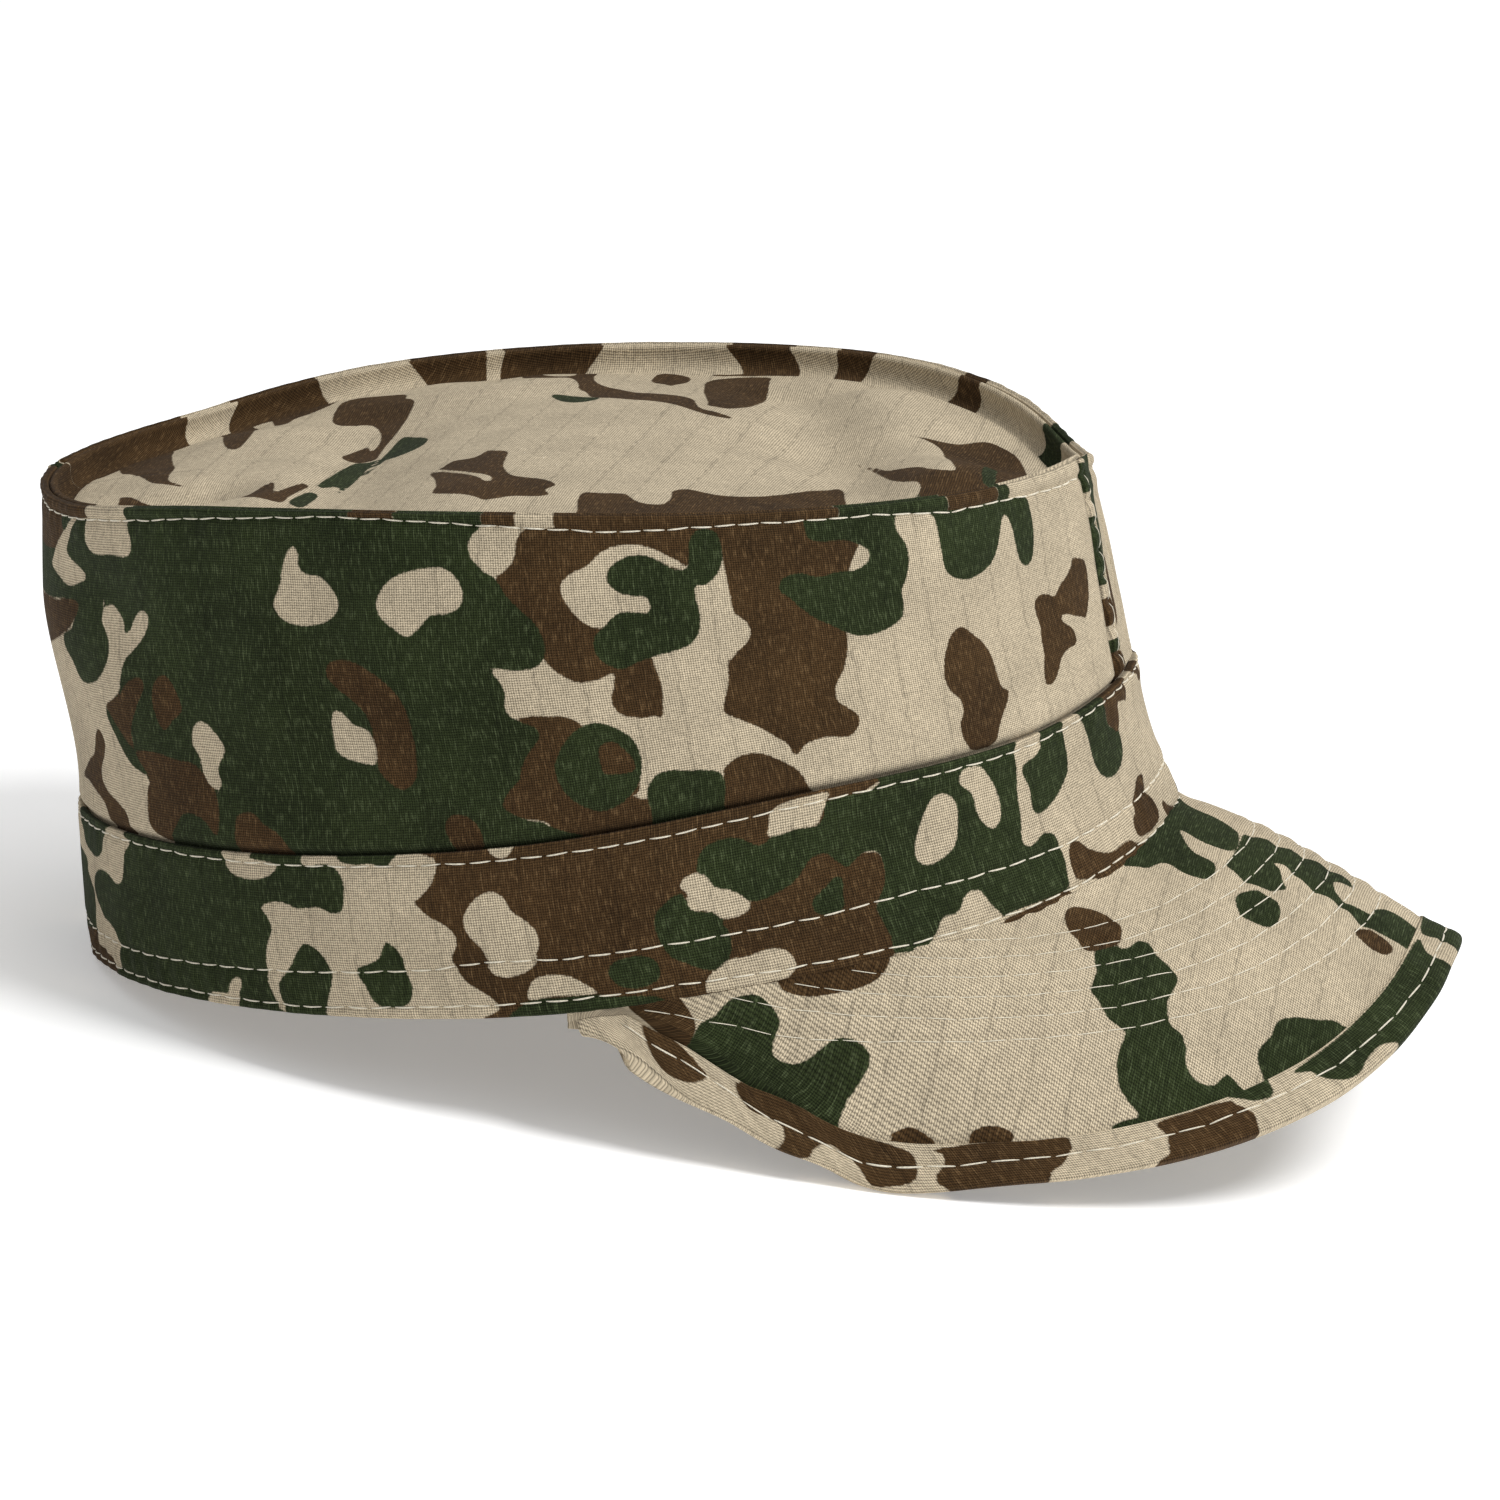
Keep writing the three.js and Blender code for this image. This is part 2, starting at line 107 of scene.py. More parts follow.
def around(shares, turn, step):
    """A smooth value at a turn from shares a step apart, level at both ends and alike on both sides."""
    shares = np.array(shares, float)
    last = len(shares) - 1
    place = np.abs((np.asarray(turn) + 180) % 360 - 180) / step
    row = np.minimum(place.astype(int), last - 1)

    def share(k):
        k = np.abs(k)
        return shares[np.where(k > last, 2 * last - k, k)]

    before, start, end, after = share(row - 1), share(row), share(row + 1), share(row + 2)
    t = place - row
    slope, far_slope, rise = (end - before) / 2, (after - start) / 2, end - start
    return start + t * (slope + t * (3 * rise - 2 * slope - far_slope + t * (slope + far_slope - 2 * rise)))


def turns_apart(turn, other):
    return (turn - other + 180) % 360 - 180


def smooth(value, low, high):
    t = np.clip((value - low) / (high - low), 0, 1)
    return t * t * (3 - 2 * t)


def plan(level):
    """How far the cap reaches to its front, back and side at a level."""
    in_band = 1 - (1 - np.clip(level, 0, 1)) ** band_flare
    in_wall = np.clip(level - 1, 0, 1)
    return (
        head_length / 2 - band_front_lean * in_band - crown_front_lean * in_wall,
        head_length / 2 + band_back_lean * in_band + crown_overhang * smooth(in_wall, 0.05, 0.68),
        head_width / 2 - band_side_lean * in_band - crown_side_lean * in_wall,
    )


def band_at(turn):
    return band_height * around(band_shares, turn, 30)


def wall_at(turn):
    wave = sum(high * np.exp(-(turns_apart(turn, middle) / reach) ** 2) for middle, reach, high in top_waves)
    return wall_height * around(wall_shares, turn, 30) + wave


def outer_place(turn, level):
    front, rear, half = plan(level)
    up = np.clip(level - 1, 0, 1)
    dent = 0
    for middle, middle_up, reach, tall, lean, deep in wall_dents:
        aside = (turns_apart(turn, middle) - lean * (up - middle_up)) / reach
        dent = dent + deep * np.exp(-aside * aside - ((up - middle_up) / tall) ** 2)
    dent = dent * 4 * up * (1 - up)
    height = rim_rise * around(rim_shares, turn, 30)
    height = height + band_at(turn) * np.minimum(level, 1) + wall_at(turn) * np.maximum(level - 1, 0)
    x = (front - rear) / 2 + ((front + rear) / 2 - dent) * np.cos(np.radians(turn))
    return np.stack([x, (half - dent) * np.sin(np.radians(turn)), height], -1)


def unit(ways):
    return ways / np.linalg.norm(ways, axis=-1, keepdims=True)


def off_face(turn, level, distance):
    """A place at a distance in millimetres outside the cap's outer face."""
    turn, level, distance = np.broadcast_arrays(*(np.asarray(v, float) for v in (turn, level, distance)))
    step = 0.01
    round_way = outer_place(turn + step, level) - outer_place(turn - step, level)
    up_way = outer_place(turn, level + step) - outer_place(turn, level - step)
    return outer_place(turn, level) + unit(np.cross(round_way, up_way)) * distance[..., None]


def lengths_along(path):
    """How far along a path each of its places lies, in millimetres."""
    return np.concatenate([[0], np.cumsum(np.linalg.norm(np.diff(path, axis=0), axis=1))])


def looked_up(table, at):
    """A value read between a table's rows, each of them a place and its value."""
    places, values = zip(*table)
    return np.interp(at, places, values)


all_turns = np.linspace(-180, 180, 1441)
ring_lengths = lengths_along(outer_place(all_turns, np.ones_like(all_turns)))


def length_at(turn):
    """How far round the cap a turn lies, in millimetres from the back."""
    return np.interp(turn, all_turns, ring_lengths)


def turn_at(length):
    return np.interp(length, ring_lengths, all_turns)


def uneven(along, seed, reach):
    """A smooth uneven wave between -1 and 1 that changes about once in its reach."""
    heights = np.random.default_rng(seed).uniform(-1, 1, 512)
    place = np.asarray(along) / reach
    row = np.floor(place).astype(int)
    t = smooth(place - row, 0, 1)
    return heights[row % 512] * (1 - t) + heights[(row + 1) % 512] * t


def sewn_in(aside, along, pitch):
    """How a row of stitches shapes the cloth: a groove that is deepest at the needle's holes, with
    the cloth puffed up beside it. Aside and along are millimetres from and along the row."""
    at_hole = 0.5 - 0.5 * np.cos(2 * np.pi * along / pitch)
    groove = -(0.16 + 0.26 * at_hole) * np.exp(-(aside / 0.6) ** 2)
    puff = (0.16 - 0.2 * at_hole + 0.16 * uneven(along, 5, 5.5)) * np.exp(-((np.abs(aside) - 2) / 1.5) ** 2)
    return groove + puff


def close_rows(low, high, step, fine_at=(), fine=0.3, reach=1.4):
    """Rows from low to high, a step apart, and closer together round each row of stitches."""
    rows = [low]
    while rows[-1] < high:
        near = any(abs(rows[-1] + step / 2 - row) < reach for row in fine_at)
        rows.append(rows[-1] + (fine if near else step))
    return np.array(rows) * (high - low) / (rows[-1] - low) + low * (1 - (high - low) / (rows[-1] - low))


def folded_section(rows, edge, inner_rows):
    """The way round a cloth's section, with a round fold at both ends: where each row lies, and how
    deep in the cloth as a share of its thickness, from the low end's fold over the face and back."""
    low, high = rows[0] + edge, rows[-1] - edge
    bend = np.radians(np.linspace(-90, 90, 7))
    face = rows[(rows > low + 0.01 * edge) & (rows < high - 0.01 * edge)]
    inside = np.linspace(high, low, inner_rows)[1:]
    way = np.concatenate([low - edge * np.cos(bend), face, high + edge * np.cos(bend), inside])
    depth = np.concatenate([0.5 - 0.5 * np.sin(bend), face * 0, 0.5 + 0.5 * np.sin(bend), inside * 0 + 1])
    return way, depth


def deselect_all():
    for thing in bpy.context.selected_objects:
        thing.select_set(False)


def cloth_piece(name, columns, section, place, flat, prints, materials):
    """A piece of cloth: a flat grid laid round its section and along its columns. It is mapped by
    its flat size in millimetres, and knows how far each place lies from the green and the brown."""
    way, depth = section
    deselect_all()
    bpy.ops.mesh.primitive_grid_add(x_subdivisions=len(columns) - 1, y_subdivisions=len(way) - 1, size=2)
    piece = bpy.context.object
    piece.name = name
    mesh = piece.data
    mesh.name = name
    grid = np.empty(len(mesh.vertices) * 3, np.float32)
    mesh.vertices.foreach_get("co", grid)
    grid = grid.reshape(-1, 3)
    i = np.rint((grid[:, 0] + 1) / 2 * (len(columns) - 1)).astype(int)
    j = np.rint((grid[:, 1] + 1) / 2 * (len(way) - 1)).astype(int)
    u, v, d = columns[i], way[j], depth[j]
    mesh.vertices.foreach_set("co", rested(place(u, v, d)).astype(np.float32).ravel())
    green, brown = prints(u, v)
    for label, values in (("green", green), ("brown", brown)):
        layer = mesh.attributes.new(label, "FLOAT", "POINT")
        layer.data.foreach_set("value", np.asarray(values, np.float32))
    laid = np.stack(flat(u, v), -1)
    corners = np.empty(len(mesh.loops), np.int32)
    mesh.loops.foreach_get("vertex_index", corners)
    mesh.uv_layers[0].name = "cloth"
    mesh.uv_layers[0].data.foreach_set("uv", laid[corners].astype(np.float32).ravel())
    for material in materials:
        mesh.materials.append(material)
    inner = d[corners].reshape(-1, 4).min(1) > 0.99
    mesh.polygons.foreach_set("material_index", inner.astype(np.int32))
    closed = bmesh.new()
    closed.from_mesh(mesh)
    bmesh.ops.remove_doubles(closed, verts=closed.verts, dist=1e-6)
    bmesh.ops.holes_fill(closed, edges=[edge for edge in closed.edges if edge.is_boundary], sides=0)
    closed.to_mesh(mesh)
    closed.free()
    mesh.polygons.foreach_set("use_smooth", [True] * len(mesh.polygons))
    mesh.update()
    return piece


def outline(points, scale, steps=5):
    """A closed smooth line through a blotch's points, which are given in turn as across, up."""
    points = np.array(points, float).reshape(-1, 2) * scale
    before, after, beyond = np.roll(points, 1, 0), np.roll(points, -1, 0), np.roll(points, -2, 0)
    t = (np.arange(steps) / steps)[None, :, None]
    p0, p1, p2, p3 = (p[:, None] for p in (before, points, after, beyond))
    bend = (2 * p0 - 5 * p1 + 4 * p2 - p3) * t ** 2 + (3 * p1 - p0 - 3 * p2 + p3) * t ** 3
    return (0.5 * (2 * p1 + (p2 - p0) * t + bend)).reshape(-1, 2)


def distance_from(places, line):
    """How far each place lies outside a closed line, negative inside it, and 4 mm at most."""
    distance = np.full(len(places), 4.0)
    near = np.all((places > line.min(0) - 4) & (places < line.max(0) + 4), axis=1)
    spots = places[near]
    nearest = np.full(len(spots), 16.0)
    inside = np.zeros(len(spots), bool)
    for start, end in zip(line, np.roll(line, -1, 0)):
        run = end - start
        offset_x, offset_y = spots[:, 0] - start[0], spots[:, 1] - start[1]
        t = np.clip((offset_x * run[0] + offset_y * run[1]) / max(run @ run, 1e-9), 0, 1)
        nearest = np.minimum(nearest, (offset_x - t * run[0]) ** 2 + (offset_y - t * run[1]) ** 2)
        if abs(run[1]) > 1e-9:
            crosses = (start[1] > spots[:, 1]) != (end[1] > spots[:, 1])
            inside ^= crosses & (offset_x < run[0] * offset_y / run[1])
    nearest = np.sqrt(nearest)
    distance[near] = np.where(inside, -nearest, nearest)
    return distance


def printed(across, up, blotches, scale):
    """How far each place of a print lies from its green and from its brown. Blotches are laid over
    each other in turn, "g" green, "b" brown and "s" the bare sand cloth. Where green and brown
    meet, the brown runs on a little way under the green."""
    places = np.stack([across, up], -1) * np.array(scale, float)
    green, brown = np.full(len(places), 4.0), np.full(len(places), 4.0)
    under = 0.5
    for colour, points in blotches:
        distance = distance_from(places, outline(points, scale))
        if colour == "g":
            green = np.minimum(green, distance)
            brown = np.maximum(brown, -distance - under)
        elif colour == "b":
            brown = np.minimum(np.minimum(brown, distance), np.maximum(distance - under, green))
            green = np.maximum(green, -distance)
        else:
            green, brown = np.maximum(green, -distance), np.maximum(brown, -distance)
    return green, brown


def turned_over(blotches):
    """The same blotches for the cap's other side, turned half round."""
    over = []
    for colour, points in blotches:
        points = np.array(points, float).reshape(-1, 2)
        over.append((colour, np.stack([-points[:, 0], 1 - points[:, 1]], -1).ravel()))
    return over


# Blotches of the band's right half in turns and levels
band_blotches = (
    ("b", (-98, 1.05, -97.8, .97, -97.7, .9, -98.3, .82, -99.5, .75, -100.4, .71, -100, .68, -99, .62,
        -97.5, .57, -96.5, .5, -96.6, .44, -97.3, .37, -97, .31, -96.3, .23, -95, .17, -94, .12, -93.5, .06,
        -93, -.05, -53, -.05, -52.8, .15, -53.5, .28, -52.2, .35, -51.4, .47, -51.6, .57, -53, .6, -56, .62,
        -57, .8, -52, .95, -52, 1.05)),
    ("g", (-71, .72, -70.3, .8, -68.5, .84, -66.5, .83, -65, .78, -64, .76, -62.8, .8, -60, .81, -58, .805,
        -57, .86, -56.5, .93, -52, .94, -50.5, .97, -49, 1.05, -31.5, 1.05, -32, .98, -32.2, .9, -32.2, .8,
        -32.6, .7, -32.9, .55, -33.5, .45, -33.5, .4, -32.8, .375, -31.5, .395, -30, .415, -29, .39,
        -28.6, .33, -28.6, .22, -29, .14, -29.3, .08, -30, .06, -40, .05, -47, -.05, -52.8, -.05, -53, .12,
        -53.5, .25, -53.4, .3, -52, .4, -51.5, .5, -51.8, .58, -53.2, .6, -54.5, .57, -55.5, .54, -56.8, .6,
        -57.5, .64, -59, .635, -60.2, .58, -61.5, .52, -63, .49, -65, .46, -66.5, .47, -67.5, .52, -69, .56,
        -70.5, .62, -71, .68)),
    ("g", (-60, .4, -58.5, .45, -57, .5, -56.3, .48, -56.6, .4, -57, .32, -58.5, .3, -60, .33)),
    ("g", (-76.2, .46, -75.5, .52, -74, .57, -73, .58, -72.5, .52, -72, .47, -70.5, .45, -69.3, .41,
        -69.6, .37, -69.2, .33, -69.3, .24, -70, .17, -71, .13, -72.5, .14, -74, .19, -75.5, .25,
        -76.2, .36)),
    ("g", (-81.9, .2, -81.2, .26, -79.5, .28, -77.7, .265, -76.8, .21, -77.2, .13, -79, .1, -81, .12)),
    ("g", (-92.5, -.05, -92.5, .02, -91.5, .06, -90, .1, -87, .1, -84, .095, -82, .07, -80, .06, -78, .04,
        -77, 0, -77, -.05)),
    ("s", (-95.4, .56, -95.2, .62, -94.3, .69, -93, .74, -91.7, .745, -90.8, .7, -90.2, .62, -89, .56,
        -88.2, .5, -88, .43, -88.5, .36, -88.9, .3, -90, .265, -91.5, .24, -93, .255, -93.6, .3, -93.6, .35,
        -94, .42, -95, .49)),
    ("s", (-90.3, .1, -90, .17, -89.2, .22, -87.5, .235, -86, .22, -85, .19, -84, .14, -83.5, .1, -86, .105,
        -88, .11)),
    ("s", (-92.5, 1.05, -91.5, .96, -90.5, .94, -89.7, .97, -89.5, 1.05)),
    ("s", (-73, .62, -72.6, .66, -71.5, .68, -70.5, .665, -70, .63, -69.5, .58, -68, .545, -67, .5,
        -66.4, .45, -67, .41, -68.3, .395, -69.6, .405, -70.2, .44, -71.5, .47, -72.3, .48, -72.6, .54,
        -72.4, .58)),
    ("s", (-63.1, .8, -63.1, .86, -62.8, .93, -61.5, .97, -59.5, .98, -56.5, .98, -56.7, .92, -57.4, .86,
        -58, .81, -60, .81)),
    ("s", (-73, .02, -72.3, .1, -71.2, .13, -70, .17, -68, .17, -66.3, .185, -64.8, .18, -63.8, .14,
        -63.5, .08, -64, .04, -65.5, .01, -72, .01)),
    ("s", (-47.6, .5, -47.3, .58, -46.5, .66, -45.2, .76, -44, .82, -42.5, .82, -41.5, .77, -41.3, .7,
        -41.7, .62, -42.2, .55, -43, .5, -45, .455, -46.7, .45)),
    ("s", (-40.5, .87, -40, .92, -38.7, .935, -37.3, .92, -36.3, .85, -35.6, .76, -35.4, .68, -35.7, .6,
        -36.5, .55, -37.5, .55, -38.4, .61, -38.8, .68, -38.8, .74, -39.1, .79, -40, .83)),
    ("s", (-53.8, -.02, -53, .015, -50.5, 0, -48.8, .03, -47.7, .08, -47, .13, -46.3, .145, -45, .145,
        -44.2, .17, -43.4, .22, -42.3, .24, -41.3, .23, -40.8, .18, -40.3, .12, -39.6, .06, -39.5, .03,
        -40.5, -.05, -53, -.05)),
    ("b", (-40, -.05, -39.5, .03, -36, .045, -31, .06, -29.5, .05, -30, -.05)),
    ("b", (-27.9, .1, -27.9, .18, -27.6, .24, -27, .285, -26.2, .3, -25.2, .28, -24.3, .22, -22.5, .16,
        -20.5, .125, -18.5, .125, -16.7, .12, -15.5, .085, -14.3, .06, -12.5, .03, -10.5, 0, -10.5, -.05,
        -20, -.05, -23, 0, -26, .06, -27.3, .08)),
    ("b", (-14.5, .12, -14.4, .17, -14, .21, -13, .23, -12.3, .28, -11.3, .33, -10, .38, -8.5, .39,
        -7.5, .385, -8.2, .34, -8.3, .27, -7.6, .2, -7.5, .13, -8.5, .08, -10.5, .07, -12.5, .075,
        -14, .09)),
    ("b", (-5.2, .1, -4.8, .15, -4, .14, -3, .1, -1, .06, 2, .02, 2, -.05, -3, -.05, -4.5, .04)),
    ("g", (-31.2, .78, -31.2, .84, -30, .86, -28.5, .88, -27.5, .92, -27, 1.05, -23.2, 1.05, -23.2, .96,
        -23.1, .85, -23, .78, -23.5, .69, -24.5, .65, -26, .6, -27.5, .565, -29.5, .535, -30.7, .55,
        -30.8, .62, -30.6, .7)),
    ("g", (-20.2, 1.05, -19.5, .97, -18.7, .88, -18.3, .78, -18.2, .68, -17.8, .6, -17, .54, -15.5, .505,
        -13.5, .505, -11.8, .54, -10.6, .6, -10.3, .68, -10.6, .73, -12, .78, -13, .8, -13.2, .87,
        -12.8, .95, -12, 1.05)),
    ("b", (-13.2, .83, -13.3, .9, -13, 1.05, -6, 1.05, -5.5, .97, -5.3, .9, -6, .85, -7, .87, -8.5, .885,
        -9.5, .89, -9.3, .83, -9.8, .76, -10.8, .72, -12.3, .78)),
    ("g", (-141.3, 1.05, -141.9, .93, -142.9, .86, -143.4, .76, -144, .675, -145.6, .64, -147.5, .67,
        -149.5, .69, -151.5, .68, -153.5, .63, -154.5, .56, -154, .48, -152.5, .4, -151, .35, -149, .335,
        -147.5, .31, -146.7, .25, -146.8, .15, -147.2, .08, -149, .04, -152, -.05, -119, -.05, -118.9, .03,
        -119.2, .1, -119.6, .2, -119.3, .35, -118.8, .44, -118, .52, -118.3, .6, -119, .65, -118.7, .68,
        -117, .705, -115.5, .695, -114.5, .67, -113, .675, -111.5, .68, -110.5, .655, -109.5, .645,
        -108.7, .67, -108.4, .75, -108.3, .83, -108.7, .9, -109.7, .94, -111, .95, -113, .94, -113, 1.05)),
    ("s", (-124.4, 1.05, -124.2, .97, -123.3, .89, -121.8, .845, -119.5, .84, -117.5, .87, -116.6, .92,
        -117.2, .95, -119, .96, -120.2, .98, -120.3, 1.05)),
    ("s", (-113.2, .94, -112, .96, -110, .95, -109, .93, -108.8, 1.05, -113, 1.05)),
    ("g", (-109, 1.05, -108.5, .97, -107, .945, -105, .95, -103.8, .93, -102.8, .95, -102.3, 1.05)),
    ("s", (-129.4, -.05, -129.3, .03, -128.3, .075, -126.5, .08, -125.6, .09, -125.3, .14, -124.7, .18,
        -123.7, .2, -123.6, .15, -124.3, .08, -124.6, 0, -124.6, -.05)),
    ("g", (-118.3, .14, -118, .2, -117, .26, -116, .32, -115, .4, -114, .45, -112.8, .43, -111.6, .36,
        -111.2, .26, -111.6, .18, -112.3, .1, -112.8, .04, -113.3, -.05, -117.8, -.05, -118, .03)),
    ("g", (-108.2, .27, -108, .31, -106.5, .34, -105.2, .38, -104.7, .44, -104.2, .47, -103.3, .44,
        -102.6, .37, -102.6, .3, -102.3, .24, -102.3, .17, -103, .1, -104.5, .07, -106, .07, -107, .12,
        -107.5, .2)),
    ("g", (-163, 1.05, -160, .9, -158, .8, -155.5, .77, -152.5, .755, -150.5, .79, -149.3, .86, -148.6, .95,
        -148.5, 1.05)),
    ("g", (-175, .6, -172, .68, -165, .72, -160, .72, -157.5, .68, -157.8, .62, -156, .55, -154.9, .5,
        -154.8, .4, -155.5, .3, -155.8, .2, -157, .17, -165, .1, -173, .05, -178, .1, -177.5, .2,
        -176, .35)),
    ("b", (-178, -.05, -176, .07, -172, .1, -165, .16, -158, .22, -155.7, .2, -155.5, .15, -152.5, .12,
        -150, .08, -151, -.05)),
    ("s", (-155.7, .2, -155.5, .3, -154.6, .36, -154.5, .45, -153, .43, -151.5, .36, -149.5, .34, -148, .32,
        -146.8, .26, -146.8, .17, -147, .1, -148.3, .065, -150, .09, -152.5, .13, -154.5, .16)),
    ("g", (-183, .55, -181, .65, -177, .78, -173, .8, -171, .72, -174, .62, -177, .5, -180, .46)),
)
band_print_scale = (1.75, 29)

sand_colour, green_colour, brown_colour = (186, 172, 147), (41, 49, 26), (67, 49, 28)
thread_colour = (216, 208, 188)


def light_of(colour, share=1.0):
    """A colour seen on a screen, 0 to 255, as the light that it sends back."""
    return tuple(share * (((c / 255 + 0.055) / 1.055) ** 2.4) for c in colour) + (1,)


def add_node(tree, kind, links=None, **settings):
    made = tree.nodes.new(kind)
    for name, value in settings.items():
        setattr(made, name, value)
    for slot, value in (links or {}).items():
        if isinstance(value, bpy.types.NodeSocket):
            tree.links.new(value, made.inputs[slot])
        else:
            made.inputs[slot].default_value = value
    return made


def calculate(tree, operation, *values):
    made = add_node(tree, "ShaderNodeMath", dict(enumerate(values)), operation=operation)
    return made.outputs[0]


def blend_colours(tree, share, first, second, blend="MIX"):
    made = add_node(tree, "ShaderNodeMix", data_type="RGBA", blend_type=blend)
    for socket, value in ((made.inputs[0], share), (made.inputs[6], first), (made.inputs[7], second)):
        if isinstance(value, bpy.types.NodeSocket):
            tree.links.new(value, socket)
        else:
            socket.default_value = value
    return made.outputs[2]


def remap(tree, value, low, high, to_low, to_high):
    made = add_node(tree, "ShaderNodeMapRange", {0: value, 1: low, 2: high, 3: to_low, 4: to_high})
    return made.outputs[0]


reed_marks_apart = 8.3


def new_material(name):
    material = bpy.data.materials.new(name)
    material.use_nodes = True
    return material, material.node_tree


def make_weave():
    """Plain weave on a cloth's own map in millimetres: the height of its threads, how light each
    crossing of two threads is, the thick places of single threads, the faint lines that the loom's
    reed left, and a slow change of tone."""
    tree = bpy.data.node_groups.new("plain_weave", "ShaderNodeTree")
    tree.interface.new_socket("Threads apart", in_out="INPUT", socket_type="NodeSocketFloat")
    for name in ("Height", "Crossings", "Thick threads", "Reed marks", "Tone"):
        tree.interface.new_socket(name, in_out="OUTPUT", socket_type="NodeSocketFloat")
    given = tree.nodes.new("NodeGroupInput")
    result = tree.nodes.new("NodeGroupOutput")
    cloth = add_node(tree, "ShaderNodeUVMap", uv_map="cloth").outputs[0]
    drift = add_node(tree, "ShaderNodeTexNoise", {"Vector": cloth, "Scale": 0.35, "Detail": 2.0})
    shift = add_node(tree, "ShaderNodeVectorMath", {0: drift.outputs["Color"], 1: (0.25, 0.25, 0)},
                     operation="MULTIPLY")
    laid = add_node(tree, "ShaderNodeVectorMath", {0: cloth, 1: shift.outputs[0]}, operation="ADD")
    apart = add_node(tree, "ShaderNodeSeparateXYZ", {0: laid.outputs[0]})
    ridges = []
    for axis in (0, 1):
        turns = calculate(tree, "DIVIDE", apart.outputs[axis], given.outputs[0])
        ridges.append(calculate(tree, "COSINE", calculate(tree, "MULTIPLY", turns, 2 * math.pi)))
    half = [calculate(tree, "COSINE", calculate(tree, "MULTIPLY", calculate(
        tree, "DIVIDE", apart.outputs[axis], given.outputs[0]), math.pi)) for axis in (0, 1)]
    over = calculate(tree, "SIGN", calculate(tree, "MULTIPLY", half[0], half[1]))
    lean = calculate(tree, "MULTIPLY", calculate(tree, "SUBTRACT", ridges[0], ridges[1]), over)
    both = calculate(tree, "ADD", ridges[0], ridges[1])
    height = calculate(tree, "MULTIPLY_ADD", both, 0.2, calculate(tree, "MULTIPLY_ADD", lean, 0.12, 0.5))
    tree.links.new(height, result.inputs["Height"])
    spaced = {0: laid.outputs[0], 1: given.outputs[0]}
    counted = add_node(tree, "ShaderNodeVectorMath", spaced, operation="DIVIDE")
    counted = add_node(tree, "ShaderNodeVectorMath", {0: counted.outputs[0]}, operation="FLOOR")
    seen = {"Vector": counted.outputs[0]}
    crossing = add_node(tree, "ShaderNodeTexWhiteNoise", seen, noise_dimensions="2D")
    tree.links.new(crossing.outputs["Value"], result.inputs["Crossings"])
    thick = []
    for stretch in ((2.2, 0.42, 0), (0.42, 2.2, 0)):
        long = add_node(tree, "ShaderNodeVectorMath", {0: cloth, 1: stretch}, operation="MULTIPLY")
        noise = add_node(tree, "ShaderNodeTexNoise", {"Vector": long.outputs[0], "Scale": 1.0, "Detail": 1.0})
        thick.append(remap(tree, noise.outputs[0], 0.52, 0.76, 0, 1))
    tree.links.new(calculate(tree, "MULTIPLY_ADD", thick[1], 0.25, thick[0]), result.inputs["Thick threads"])
    bent = calculate(tree, "MULTIPLY_ADD", drift.outputs[0], 2.4, apart.outputs[0])
    marks = calculate(tree, "COSINE", calculate(tree, "MULTIPLY", bent, 2 * math.pi / reed_marks_apart))
    marks = remap(tree, marks, 0.955, 1, 0, 1)
    marks = calculate(tree, "MULTIPLY", marks, remap(tree, drift.outputs[0], 0.35, 0.6, 0.3, 1))
    tree.links.new(marks, result.inputs["Reed marks"])
    tone = add_node(tree, "ShaderNodeTexNoise", {"Vector": cloth, "Scale": 0.07, "Detail": 4.0})
    tree.links.new(tone.outputs[0], result.inputs["Tone"])
    return tree


weave = make_weave()


def finish_cloth(material, weave_node, colour, bump):
    """Ties a cloth's colour and its threads to its shader: matt, with a faint sheen of fibres."""
    tree = material.node_tree
    shader = tree.nodes["Principled BSDF"]
    tree.links.new(colour, shader.inputs["Base Color"])
    rough = remap(tree, weave_node.outputs["Height"], 0, 1, 0.95, 0.82)
    tree.links.new(rough, shader.inputs["Roughness"])
    thick, height = weave_node.outputs["Thick threads"], weave_node.outputs["Height"]
    raised = calculate(tree, "MULTIPLY_ADD", thick, 0.5, height)
    relief = add_node(tree, "ShaderNodeBump", {"Height": raised, "Strength": bump, "Distance": 0.00012})
    tree.links.new(relief.outputs[0], shader.inputs["Normal"])
    shader.inputs["Specular IOR Level"].default_value = 0.06
    shader.inputs["Sheen Weight"].default_value = 0.02
    shader.inputs["Sheen Roughness"].default_value = 0.6


